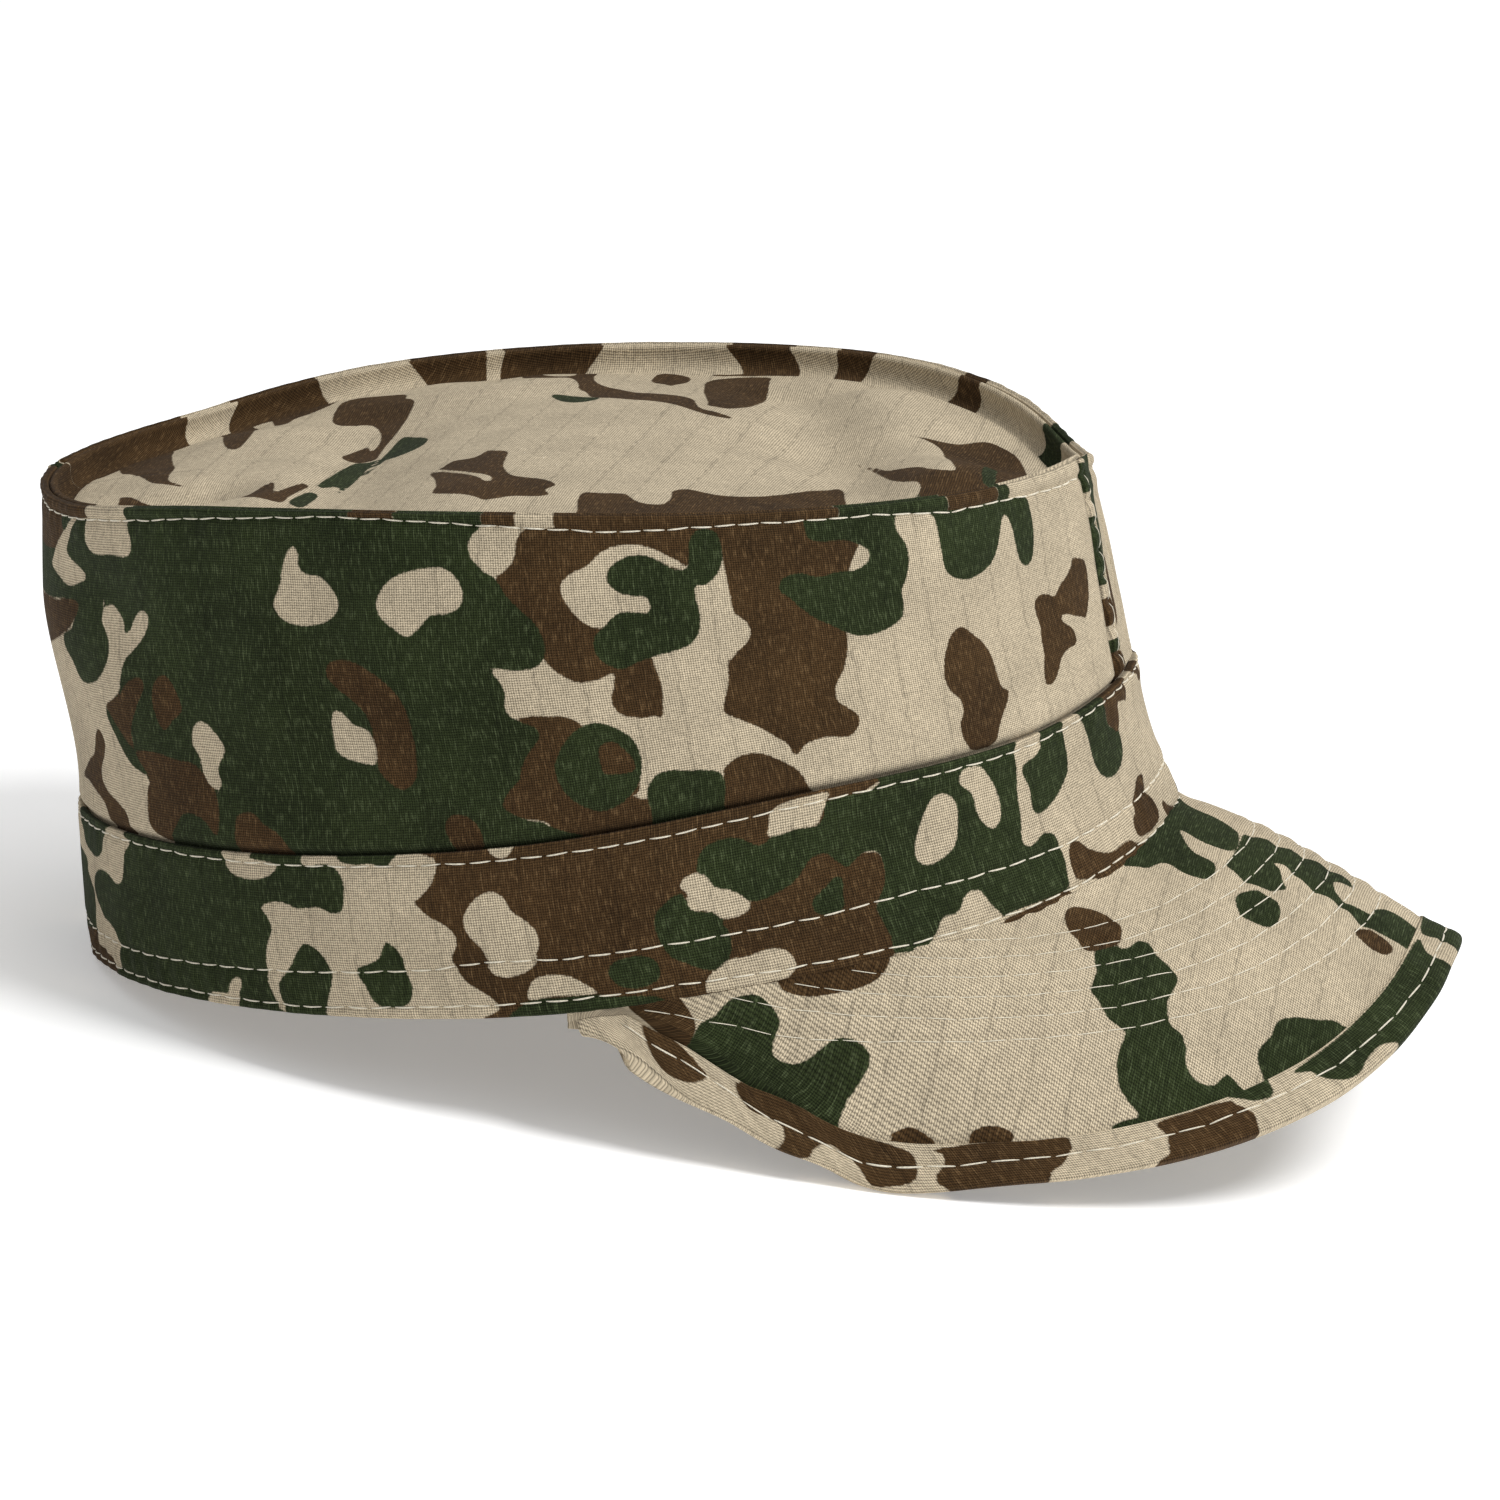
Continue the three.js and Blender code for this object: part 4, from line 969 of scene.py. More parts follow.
def make_seam(name, node, middle, left, right):
    """A seam strip; left and right are how far it reaches aside at the band and at the top. The
    front one runs on a little way under the right wall's edge."""
    under_wall = 3 if middle == 0 else 0

    def reaches(up):
        return left[0] + (left[1] - left[0]) * up, right[0] + (right[1] - right[0]) * up

    def at(aside, up):
        half = plan(1 + np.maximum(up, 0))[2]
        return middle + np.degrees(np.arcsin(aside / half)) * (1 if middle == 0 else -1)

    def off(aside, up):
        along = up * wall_at(np.full_like(up, float(middle)))
        low, high = reaches(up)
        puff = np.abs(np.sin(np.pi * along / seam_pitch)) ** 0.7
        from_edge = np.minimum(aside - low, high - aside)
        bulge = np.sqrt(np.clip(1 - ((from_edge - roll_reach) / roll_reach) ** 2, 0, 1))
        roll = bulge * (0.5 + 0.9 * puff)
        groove = -0.5 * np.exp(-((from_edge - groove_in) / 0.5) ** 2)
        tucked = 0.9 * (1 - smooth(aside - low, -0.1, 0.8)) * (middle == 0)
        flat = 0.5 * smooth(from_edge, 3.6, 4.6) - tucked
        rolled = np.where(high - aside > aside - low, roll + groove, 0.4 * roll)
        return rolled + flat - 0.5 + 0.1 * uneven(along, 41, 3)

    def place(share, up, depth):
        low, high = reaches(up)
        low = low - under_wall
        aside = low + (high - low) * share
        level = np.where(up < 0, 1 + np.minimum(up, 0) * wall_lap / band_height, 1 + up)
        over = off(aside, np.maximum(up, 0)) + wall_relief(at(aside, up), np.clip(up, 0, 0.9)) * 0.5
        inner_face = -2.1 if middle == 0 else -1.2
        return off_wall(at(aside, up), level, np.where(depth > 0.99, inner_face, over * (1 - depth)))

    def thread_place(edge):
        def place_thread(along, aside, lift):
            up = along / wall_at(np.full_like(along, float(middle)))
            low, high = reaches(up)
            bow = 0.9 * np.sin(np.pi * along / seam_pitch) ** 2 - 0.3
            across = (low + 2.7 + bow if edge == 0 else high - 2.7 - bow) + aside
            relief = off(across, up) + wall_relief(at(across, up), np.clip(up, 0, 0.9)) * 0.5
            return off_wall(at(across, up), 1 + up, lift + relief)
        return place_thread

    ways = np.concatenate([np.linspace(-0.8, 0, 5)[:-1], np.linspace(0, 1, int(120 * detail))])
    piece = cloth_piece(
        name, np.linspace(0, 1, int(90 * detail)), folded_section(ways, 0.012, 8), place,
        lambda share, up: (share * 16, up * mapped_height),
        lambda share, up: printed(share * 18 - under_wall, up, seam_blotches, (1, 55)),
        (camouflage, lining),
    )
    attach(piece, "root")
    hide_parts(node)
    tall = float(wall_at(np.array(float(middle))))
    middles = np.arange(0.5 * seam_pitch, tall - 3, seam_pitch)
    return [(thread_place(edge), middles) for edge in ((0,) if middle == 0 else (0, 1))]


seam_rows = make_seam("front_seam_cloth", "front_seam", 0, (-11, -8.2), (6.5, 5.5))
seam_rows += make_seam("back_seam_cloth", "back_seam", 180, (-5.5, -5), (5.5, 5))
seam_thread = sewn_rows("seam_stitches", long_stitch, seam_rows)
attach(seam_thread, "root")


# The top panel. A soft oval of the same cloth that sags and folds inside the ring of the walls.
# Its edge is turned up against their inner side and joined to them in a round ridge.
top_cloth, ridge_depth = 1.4, 5
# Folds, where a crease is negative: from x, y, to x, y and wide, as shares of the panel's half
# sizes, and height in millimetres
top_folds = (
    (-0.3, -0.85, -0.46, 0.5, 0.13, -4), (0.02, -0.45, 0.1, 0.35, 0.3, 3),
    (0.48, 0.66, 0.75, -0.1, 0.12, 3), (0.36, 0.7, 0.62, -0.35, 0.1, -3.4),
    (-0.86, -0.4, -0.66, -0.25, 0.1, -3.4), (-0.7, 0.35, -0.2, 0.75, 0.14, 1.6),
    (-0.05, -0.75, -0.12, 0.1, 0.05, 0.5), (0.3, -0.8, 0.22, 0.1, 0.06, 0.5),
    (0.62, -0.6, 0.8, 0.05, 0.05, 0.5), (-0.52, -0.7, -0.5, 0.2, 0.05, 0.5),
    (-0.7, -0.55, -0.62, 0.1, 0.05, -0.5),
)
# Blotches of the top panel in millimetres to the front and to the left
top_blotches = (
    ("b", (-83, 53, -81, 48, -79.5, 44, -77.5, 45, -77, 50, -74, 54, -71.5, 57, -70.5, 61, -71, 64, -75, 68,
        -82, 68, -88, 60, -86, 55)),
    ("b", (-91, 46, -89, 50, -86, 49, -83, 44, -82, 38, -80.5, 30, -80, 22, -80.5, 17, -83, 19, -85.5, 26,
        -88, 36, -90, 42)),
    ("b", (-104, 20, -98.5, 36, -97, 33, -95, 24, -92, 13, -89.5, 5, -88.5, -3, -87, -8, -83, -12, -90, -8,
        -94, -2, -98, 4, -101, 10, -104, 18)),
    ("b", (-94.5, -15, -92, -16, -90, -18, -87, -19.5, -91, -20.5, -93.5, -21.5, -94.3, -18)),
    ("b", (-69.5, 52, -69.3, 57, -67, 60, -63, 61, -58.5, 61, -57, 59, -56.3, 55.5, -54.8, 54, -53.6, 51,
        -53.4, 44, -53.4, 36, -53.8, 27, -53.3, 20, -52.9, 15, -55.5, 12.5, -58, 14, -59.6, 16, -60, 20,
        -59, 25, -57.4, 28, -56.2, 25, -55.6, 27, -56, 33, -57.5, 38, -59.5, 42, -61.5, 43, -64, 42,
        -66.5, 41.5, -68.5, 45)),
    ("g", (-51.8, 28, -51, 31, -49, 29, -46, 25, -44, 21, -43.6, 16, -45, 12.5, -48, 11, -49.8, 11,
        -50.3, 5, -50.8, -1, -51.2, 4, -51.5, 12, -51.8, 20)),
    ("g", (-56, 12, -53.5, 12.5, -52.2, 14, -52, 8, -51.8, 0, -51.8, -8, -52.2, -15, -52.7, -16.5,
        -53.3, -12, -54.5, -10.5, -55.5, -12, -56.7, -13.5, -57.6, -11, -57.3, -3, -56.8, 5)),
    ("b", (-68, -24, -67, -18, -65.5, -15.5, -64.3, -18, -63.5, -22, -62.6, -25, -61.8, -21, -60.5, -15,
        -59.5, -13, -58.6, -15, -59, -20, -59.4, -26, -59.3, -33, -62, -33, -65.5, -31, -68, -29)),
    ("g", (-57.7, -20, -56.6, -18.5, -55.3, -21, -55, -26, -55.2, -34, -57.5, -33, -58.4, -30, -58.2, -24)),
    ("b", (-32, -20, -31.5, -16.5, -30.5, -14.7, -29, -15.5, -26.5, -15.5, -25.5, -11.5, -25, -10.7,
        -23.5, -12, -21, -13.5, -20, -19, -19, -26, -17.5, -31, -15.5, -35, -12.5, -36.5, -9, -37.5,
        -6.5, -40, -6, -42, -7, -45, -5.8, -48, -8, -49.5, -12, -50, -14.5, -52, -16.5, -53.5, -18.5, -52,
        -21, -50, -25, -47.5, -28, -45, -28.5, -40, -30, -34, -31.5, -29, -33, -25, -33.5, -22)),
    ("s", (-33.5, -22, -31, -24.5, -28, -28.5, -24.5, -33, -21, -38, -19.2, -41, -18.2, -41.3, -18.4, -38.5,
        -20, -36, -23, -33, -26.5, -28.5, -30, -24, -32.5, -21)),
    ("b", (-42, 86, -38, 76, -36, 70, -33, 66, -31, 64.5, -29, 65.5, -27, 68, -26, 67, -24.5, 64, -23, 60,
        -22, 56, -20, 53, -17.5, 47, -13, 44.5, -9, 41.5, -4, 39, 0, 36, 3, 33, 6, 30, 9, 28, 12, 27.5,
        13.5, 28.5, 10, 31, 6.5, 33, 4.5, 38, 3, 43, 0, 47.5, -3, 50, -7, 52, -10, 53, -14, 57, -18, 60.5,
        -20.5, 64.5, -22, 70, -22.5, 75, -22, 86, -29, 86, -27.5, 80, -26.5, 74, -28, 71, -30, 70.5,
        -32, 72, -34, 76, -36.5, 82, -37, 86)),
    ("g", (-26, 50.5, -24.5, 50.5, -21, 48.5, -18, 47, -16, 46, -16, 43, -17.5, 40.5, -19.5, 40, -22, 42,
        -24, 45, -25.8, 48.5)),
    ("b", (-10.5, 75, -9.5, 76.5, -7.5, 76.5, -4.5, 75, -3.2, 72, -3.3, 68, -4.5, 66, -5.5, 63.5, -7, 65.5,
        -9.5, 67, -10.5, 70)),
    ("b", (1, 70, 3, 72, 8, 73, 12.5, 72, 13.2, 68, 14, 62, 14.6, 55, 14.5, 48, 14, 42, 12.5, 38, 11, 35.7,
        9, 36, 7, 37, 6.5, 40, 5.5, 44, 4, 50, 2.5, 56, 1.5, 62, .8, 66)),
    ("b", (.5, 75.5, .5, 82, 3, 86, 14, 86, 14, 80, 13, 75, 11, 73.8, 5, 74.5)),
    ("b", (48, 24.5, 51, 24, 54, 21.5, 55.5, 18, 57, 11, 58.5, 5, 60, -1, 61.5, -7, 62.5, -11, 60, -11.5,
        57.5, -9.5, 55, -5.5, 51, -2.5, 48, 0, 45, 6, 42, 11, 39, 16, 37.5, 18.7, 40, 14, 43, 8, 45, 3,
        48, -4, 50.5, -9, 53.5, -13, 56, -15, 57.3, -18, 57.5, -22, 59, -24, 63, -26, 67, -29, 70, -29,
        72.5, -22, 72, -13, 74.5, -7, 74.5, 0, 73.5, 8, 72, 15, 70.5, 22, 69, 27, 67, 31, 64, 34,
        61.5, 35.5, 59.5, 34, 58, 31, 56.5, 28, 54, 26, 51, 25)),
    ("g", (66.5, 10, 68, 4, 69, -4, 70, -12, 68.5, -14, 67, -8, 66, 0, 65.8, 6)),
    ("b", (0, -45, 3, -44, 7, -43, 8.5, -45, 10.5, -48, 13, -49.5, 15.3, -48.5, 15.8, -45, 15.5, -41,
        15, -38, 16, -35, 18, -33.7, 22, -34.5, 26, -34, 30, -31.5, 33, -27, 35, -21, 36.5, -15, 38.5, -9,
        40, -6, 41.5, -9, 42.5, -14, 44, -21, 43, -25, 41.5, -33, 41, -60, 5, -64, 2, -61, 1, -55, 0, -50)),
    ("g", (42.5, -24, 45, -22.8, 48, -22, 52, -22.5, 56.5, -24.5, 57.5, -21, 59, -24, 63, -26.5, 67, -30,
        68, -35, 60, -45, 50, -55, 42, -55, 41, -45, 41.5, -33)),
    ("s", (50.5, -31, 52, -31, 55, -34, 57, -37, 55, -38, 52, -36.5)),
    ("g", (-60, -50, -50, -58, -35, -60, -30, -70, -50, -70, -62, -60)),
)
top_front, top_rear, top_half = (float(reach) for reach in plan(np.array(2.0)))
top_middle = (top_front - top_rear) / 2
table_turns = np.arange(0, 181, 30.0)
top_level = float(np.mean(outer_place(table_turns, np.full(7, 2.0))[:, 2])) - ridge_depth
behind_wall, ridge_round, rim_round = 1.7, 0.8, 2.8


def fold_lift(x, y):
    lift = 0
    for from_x, from_y, to_x, to_y, wide, high in top_folds:
        run_x, run_y = to_x - from_x, to_y - from_y
        along = ((x - from_x) * run_x + (y - from_y) * run_y) / (run_x ** 2 + run_y ** 2)
        along = np.clip(along, 0, 1)
        away = np.hypot(x - from_x - along * run_x, y - from_y - along * run_y) / wide
        lift = lift + high * np.exp(-away * away)
    return lift


def disc_place(turn, share):
    """A place on the panel's upper face, by its share of the way from the middle to the walls."""
    rim = off_wall(turn, 2 - ridge_depth / wall_at(turn), -behind_wall - top_cloth)
    x = top_middle + (rim[..., 0] - top_middle) * share
    y = rim[..., 1] * share
    soft = 1 - share * share
    fade = np.minimum(1, 3 * soft)
    lift = fold_lift((x - top_middle) / ((top_front + top_rear) / 2), y / top_half) * fade
    small = 0.5 * uneven(length_at(turn), 51, 11) * smooth(share, 0.72, 0.94) * smooth(1 - share, 0, 0.05)
    small = small + 0.22 * uneven(x + 0.25 * y, 52, 11) * uneven(y - 0.2 * x, 53, 17) * fade
    z = top_level + (rim[..., 2] - top_level) * share * share + 3 * soft + lift + small
    return np.stack([x, y, z], -1)


# The way over the ridge: how far in from the wall's face and how far above the seam
over_ridge = [(behind_wall, -6.4), (behind_wall, -3)]
over_ridge += [
    (behind_wall - 0.2 + ridge_round - ridge_round * math.cos(a), -ridge_round + ridge_round * math.sin(a))
    for a in np.radians(np.arange(0, 181, 20))
]
over_ridge += [(3.02, -1.3), (3.06, -1.9)]
over_ridge += [
    (3.1 + rim_round - rim_round * math.cos(a), -2.2 - rim_round * math.sin(a))
    for a in np.radians(np.arange(0, 88, 11))
]
under_shares = np.linspace(0, 1, 10)
disc_shares = np.concatenate([
    np.linspace(0.967, 0.9, int(14 * detail)), np.linspace(0.9, 0, int(72 * detail))[1:],
])
ridge_in, ridge_up = (np.array(column) for column in zip(*over_ridge))
first_ridge, first_disc = len(under_shares), len(under_shares) + len(over_ridge)


def top_shape(turn, row, depth):
    row = row.astype(int)
    under = disc_place(turn, under_shares[np.minimum(row, first_ridge - 1)]) - np.array([0, 0, top_cloth])
    at_ridge = np.clip(row - first_ridge, 0, len(over_ridge) - 1)
    ridge = off_wall(turn, 2 + ridge_up[at_ridge] / wall_at(turn), -ridge_in[at_ridge])
    disc = disc_place(turn, disc_shares[np.clip(row - first_disc, 0, len(disc_shares) - 1)])
    shape = np.where((row < first_ridge)[:, None], under, ridge)
    return np.where((row >= first_disc)[:, None], disc, shape)


def top_print(turn, row):
    place = top_shape(turn, row, 0)
    green, brown = printed(place[:, 0], place[:, 1], top_blotches, (1, 1))
    rise = ridge_up[np.clip(row.astype(int) - first_ridge, 0, len(over_ridge) - 1)]
    slant = 0.5 * (rise + 1) * np.sin(turn / 7) * (turn > 0)
    edge_green, edge_brown = strip_print(turn + slant, strip_colours, 1.6)
    on_edge = row < first_disc
    return np.where(on_edge, edge_green, green), np.where(on_edge, edge_brown, brown)


def top_flat(turn, row):
    place = top_shape(turn, row, 0)
    rise = ridge_up[np.clip(row.astype(int) - first_ridge, 0, len(over_ridge) - 1)] + ridge_depth
    out = np.where((row >= first_ridge) & (row < first_disc), 1 + rise / 90, 1)
    return (place[:, 0] - top_middle) * out + 300, place[:, 1] * out + 100


top_rows = np.arange(first_disc + len(disc_shares))
top_depths = np.where(top_rows < first_ridge, 1.0, 0.0)
top = cloth_piece(
    "top_cloth", turn_at(np.linspace(0, ring_lengths[-1], int(560 * detail))), (top_rows, top_depths),
    top_shape, top_flat, top_print, (camouflage, lining),
)
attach(top, "root")
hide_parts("top")


# The peak. A stiff board covered with cloth, 2.4 mm thick in all, set under the band at the front,
# curved down at both sides, with six rows of quilting stitches that follow the band's curve.
peak_reach, peak_drop, peak_board, hem_cloth = 52.5, 36.7, 2.4, 1.0
peak_flare, peak_squareness, peak_arch, peak_corner = 3, 0.85, 3.6, 87
# How far the board's inner corner is raised to meet the band
peak_raised = 0.8
# Bends of the outer edge: share across, reach, millimetres up. At its ends it is tucked in.
peak_bends = ((0.84, 0.03, 2.4), (0.94, 0.035, -3.9))
tuck_from, tuck_depth = 0.965, 2.4
# The ovals of the quilting: half as long and wide as this, and how much more from row to row
quilt_long, quilt_wide, longer, wider = 112.5, 75.8, 4.75, 1.4
peak_pitch = 6.1
peak_edge_shares = (0.62, 0.735, 0.865, 0.955, 0.96, 0.85, 0.06)
# Blotches of the peak: share across from the cap's right to its left, millimetres out from the band
peak_blotches = (
    ("b", (-.93, 0, -.925, 4, -.915, 8, -.9, 10, -.89, 9, -.875, 6, -.872, 2, -.88, -1)),
    ("g", (-.9, 10, -.87, 6, -.85, 5, -.83, 3, -.81, 2, -.79, 2.5, -.783, 5.5, -.785, 8, -.79, 9.5, -.8, 11,
        -.81, 13, -.815, 14.5, -.81, 16.2, -.8, 17, -.785, 16.8, -.77, 15.8, -.755, 14.8, -.745, 14.2,
        -.73, 15, -.723, 17, -.724, 19, -.735, 21.5, -.755, 24, -.775, 26.5, -.79, 29, -.795, 30, -.81, 33,
        -.86, 25, -.93, 12)),
    ("b", (-.76, 0, -.76, 2.5, -.75, 4.2, -.735, 5.2, -.71, 5.6, -.68, 5.6, -.66, 5, -.645, 4, -.63, 2.3,
        -.62, .5, -.62, -1, -.76, -1)),
    ("b", (-.757, 35, -.755, 34.3, -.74, 33.9, -.732, 34.5, -.726, 36.5, -.724, 38.5, -.74, 40, -.76, 40,
        -.77, 37)),
    ("b", (-.695, 39.8, -.69, 38.7, -.675, 38.1, -.662, 38.8, -.655, 40, -.653, 41.5, -.66, 42.5, -.69, 45,
        -.71, 44)),
    ("g", (-.565, 47, -.555, 46, -.54, 46, -.527, 46.2, -.525, 43, -.52, 40, -.51, 37.5, -.5, 35.5,
        -.485, 33.5, -.47, 32, -.463, 31, -.463, 29.5, -.467, 27.5, -.46, 25, -.455, 21.5, -.44, 19.5,
        -.425, 18, -.415, 16, -.405, 14.5, -.39, 14, -.375, 15, -.372, 16.5, -.36, 16.8, -.345, 16.5,
        -.338, 18, -.34, 19.5, -.346, 22, -.346, 25, -.355, 27, -.375, 28.5, -.39, 29.5, -.4, 31,
        -.412, 33.5, -.412, 36, -.42, 38.5, -.433, 40.5, -.442, 43, -.443, 45, -.437, 46.5, -.43, 47,
        -.415, 46.5, -.407, 46.5, -.408, 49, -.41, 52, -.45, 53, -.57, 50)),
    ("b", (-.41, 13.5, -.4, 14.3, -.38, 15, -.365, 15, -.35, 13.5, -.34, 11.5, -.34, 9, -.345, 6,
        -.355, 3.8, -.365, 3.3, -.38, 4, -.395, 6.5, -.405, 10)),
    ("g", (-.372, 49, -.365, 47, -.35, 45.3, -.325, 44.5, -.305, 43.2, -.29, 43.5, -.275, 45, -.262, 47,
        -.248, 48.8, -.243, 50.5, -.25, 54, -.38, 54)),
    ("g", (-.198, 26, -.197, 27.5, -.187, 29.3, -.172, 30, -.15, 29.3, -.138, 27.5, -.135, 26, -.14, 23.5,
        -.155, 22, -.17, 21.3, -.185, 22, -.195, 23.8)),
    ("g", (-.215, -1, -.213, 3.5, -.205, 5, -.187, 5.8, -.18, 7.5, -.183, 10, -.18, 13, -.168, 14.8,
        -.15, 15.2, -.135, 14.2, -.13, 12, -.128, 9.5, -.118, 7.5, -.105, 6, -.09, 4.6, -.08, 4.2, -.085, 6,
        -.093, 9, -.093, 12, -.087, 14.5, -.07, 15.3, -.04, 14.8, -.015, 13.2, .005, 9, .02, 5, .04, 2,
        .05, -1)),
    ("g", (-.133, 20, -.131, 23, -.122, 25.3, -.112, 26.2, -.103, 27.3, -.094, 26.9, -.083, 25.6,
        -.07, 24.3, -.058, 22.8, -.052, 25.5, -.06, 27, -.067, 30, -.066, 34, -.067, 38, -.075, 41,
        -.07, 44, -.065, 47, -.062, 50, -.06, 54, -.008, 54, -.005, 50, -.003, 46, -.01, 43.5, -.02, 42.3,
        -.035, 42.5, -.045, 41, -.05, 38.5, -.045, 35.5, -.035, 34.2, -.02, 33.8, -.01, 35.5, 0, 37,
        .01, 36, .01, 30, 0, 22, -.005, 17, -.02, 15, -.05, 15.3, -.09, 15.6, -.115, 15.5, -.128, 17)),
    ("b", (-.105, 46, -.1, 48, -.085, 48.8, -.075, 48, -.072, 45.5, -.077, 43, -.088, 41.3, -.1, 42.5,
        -.105, 44.5)),
    ("g", (.19, 54, .2, 48.5, .225, 47, .245, 47.5, .262, 46.5, .272, 43, .265, 40, .24, 38.7, .22, 39,
        .2, 40.5, .18, 40, .17, 36, .19, 31, .22, 26, .26, 23, .3, 26, .315, 31, .308, 36, .3, 43, .3, 50,
        .28, 54)),
    ("g", (.32, 34, .33, 37, .36, 38.5, .39, 38, .42, 36, .43, 33, .42, 30, .4, 28, .36, 26, .31, 23,
        .27, 20, .25, 23, .26, 26, .3, 29)),
    ("g", (.42, 42, .43, 44.5, .455, 46.5, .48, 46.5, .495, 44.5, .495, 42, .48, 39.5, .455, 37.8,
        .43, 37.8, .415, 39.5)),
    ("g", (.26, 14, .28, 17, .33, 22, .37, 25, .39, 26, .41, 24, .425, 21, .43, 19, .4, 16, .35, 13, .3, 10,
        .27, 10)),
    ("g", (.445, 25, .44, 28, .445, 31, .465, 32.5, .49, 32.5, .51, 31, .525, 28.5, .55, 29, .57, 28,
        .58, 27, .55, 24, .5, 21.5, .46, 19, .44, 19)),
    ("b", (.298, 53, .3, 51.5, .32, 50.8, .34, 51.5, .35, 54, .34, 57, .31, 57, .298, 55)),
    ("b", (.5, 20, .55, 26, .6, 30, .68, 33, .75, 30, .74, 22, .66, 18, .58, 17, .52, 16)),
    ("g", (.78, 6, .8, 12, .85, 16, .9, 15, .92, 9, .88, 4, .82, 2)),
    ("b", (.62, 3, .66, 9, .72, 11, .76, 8, .75, 3, .7, 0, .65, 0)),
)
peak_print_scale = (165, 1)


def squared(value):
    return np.sign(value) * np.abs(value) ** peak_squareness


def board_ends(across):
    """The board's inner corner under the band and its outer corner, at a share across."""
    inner = off_face(peak_corner * across, np.zeros_like(across), -band_cloth) - np.array([0, 0, cloth_gap])
    corner_x = head_length / 2 * math.cos(math.radians(peak_corner))
    ends = cloth_gap + hem_cloth
    turn = np.radians(90 * across)
    share = np.abs(across)
    rise = sum(high * np.exp(-((share - middle) / reach) ** 2) for middle, reach, high in peak_bends)
    tuck = np.sign(across) * tuck_depth * smooth(share, tuck_from, 1)
    outer = np.stack([
        corner_x + (head_length / 2 + peak_reach - corner_x - ends) * squared(np.cos(turn)),
        (head_width / 2 + peak_flare - ends) * squared(np.sin(turn)) - tuck,
        inner[..., 2] - peak_drop * around(peak_edge_shares, 90 * across, 15) + rise,
    ], -1)
    return inner + np.array([0, 0, peak_raised]), outer


def board_top(across, out):
    inner, outer = board_ends(across)
    place = inner + (outer - inner) * out[..., None]
    arch = peak_arch * np.cos(np.radians(90 * across)) ** 2 * np.sin(np.pi * out ** 0.7)
    return place + np.stack([arch * 0, arch * 0, arch], -1)


def in_board(across, out, depth, past=0.0):
    """A place at a depth through the board, and past its edge by a distance."""
    step = 0.001
    inside = np.clip(out, step, 1 - step)
    round_way = board_top(across + step, inside) - board_top(across - step, inside)
    out_way = unit(board_top(across, inside + step) - board_top(across, inside - step))
    up_way = unit(np.cross(out_way, round_way))
    place = board_top(across, out) - up_way * np.asarray(depth)[..., None]
    return place + out_way * np.asarray(past)[..., None]


def board_length(across):
    inner, outer = board_ends(across)
    return np.linalg.norm(outer - inner, axis=-1)


# The hem's width on the board, measured out from the band: share across, millimetres. Towards the
# peak's ends that way runs more and more slantwise over the hem.
middle_hem = 7.2
hem_widths = (
    (0, middle_hem), (0.64, 7.4), (0.7, 8), (0.74, 9), (0.78, 10.8), (0.8, 12.2), (0.82, 13.4), (0.86, 13.4),
    (0.88, 14.6), (0.9, 15.6), (1, 16),
)


def hem_width_at(across):
    return looked_up(hem_widths, np.abs(across))


def hem_fold(across):
    """How far out the hem's inner edge lies on the board, as a share."""
    width = np.minimum(hem_width_at(across), board_length(across) - band_cloth - 2 * cloth_gap)
    return 1 - np.maximum(width, 0) / board_length(across)


def quilt_number(place):
    """Which row of quilting a place of the peak lies on, counted out from the band, and how far
    one row is from the next there. The rows are ovals round the head."""
    x, y = place[..., 0], place[..., 1]
    number = np.full(x.shape, 3.0)
    for _ in range(8):
        long, wide = quilt_long + longer * number, quilt_wide + wider * number
        excess = (x / long) ** 2 + (y / wide) ** 2 - 1
        slope = -2 * (x * x * longer / long ** 3 + y * y * wider / wide ** 3)
        number = np.clip(number - excess / slope, -8, 20)
    apart = -slope / (2 * np.hypot(x / long ** 2, y / wide ** 2))
    return number, apart


def peak_relief(across, out):
    number, apart = quilt_number(board_top(across, out))
    row = np.clip(np.rint(number), 1, 6)
    aside = (number - row) * apart
    along = across * 150
    quilted = sewn_in(aside, along + 3 * row, peak_pitch) * 0.55
    between = 0.16 * np.cos(2 * np.pi * (number - 0.5)) * smooth(number, 0.4, 1) * smooth(7 - number, 0.4, 1)
    slow = 0.16 * uneven(along + 2 * number, 61, 12) + 0.1 * uneven(across * 150 - number * 5, 62, 5)
    length = board_length(across)
    pressed = -0.25 * np.exp(-(((hem_fold(across) - out) * length + 0.7) / 1.4) ** 2)
    under_band = 1.15 * np.exp(-(out * length / 2.4) ** 2)
    return quilted + between + slow + pressed + under_band


def peak_out(across, way):
    """How far out a place lies as a share, from the way: 1 at the hem's inner edge, 2 at the outer."""
    fold = hem_fold(across)
    return np.where(way < 1, fold * way, fold + (1 - fold) * (way - 1))


def peak_place(across, way, depth):
    out = peak_out(across, way)
    relief = np.where(way < 1, peak_relief(across, out), 0)
    return in_board(across, out, peak_board * depth - relief * (1 - depth))


def peak_print(across, way):
    millimetres = peak_out(across, way) * board_length(across) - cloth_gap
    return printed(across, millimetres, peak_blotches, peak_print_scale)


spread = board_top(np.linspace(-1, 1, 801), np.full(801, 0.6))
spread_lengths = np.concatenate([[0], np.cumsum(np.hypot(np.diff(spread[:, 1]), np.diff(spread[:, 2])))])


def peak_flat(across, way):
    place = board_top(across, np.minimum(way, 1))
    return place[:, 0], np.interp(place[:, 1], spread[:, 1], spread_lengths) + 600


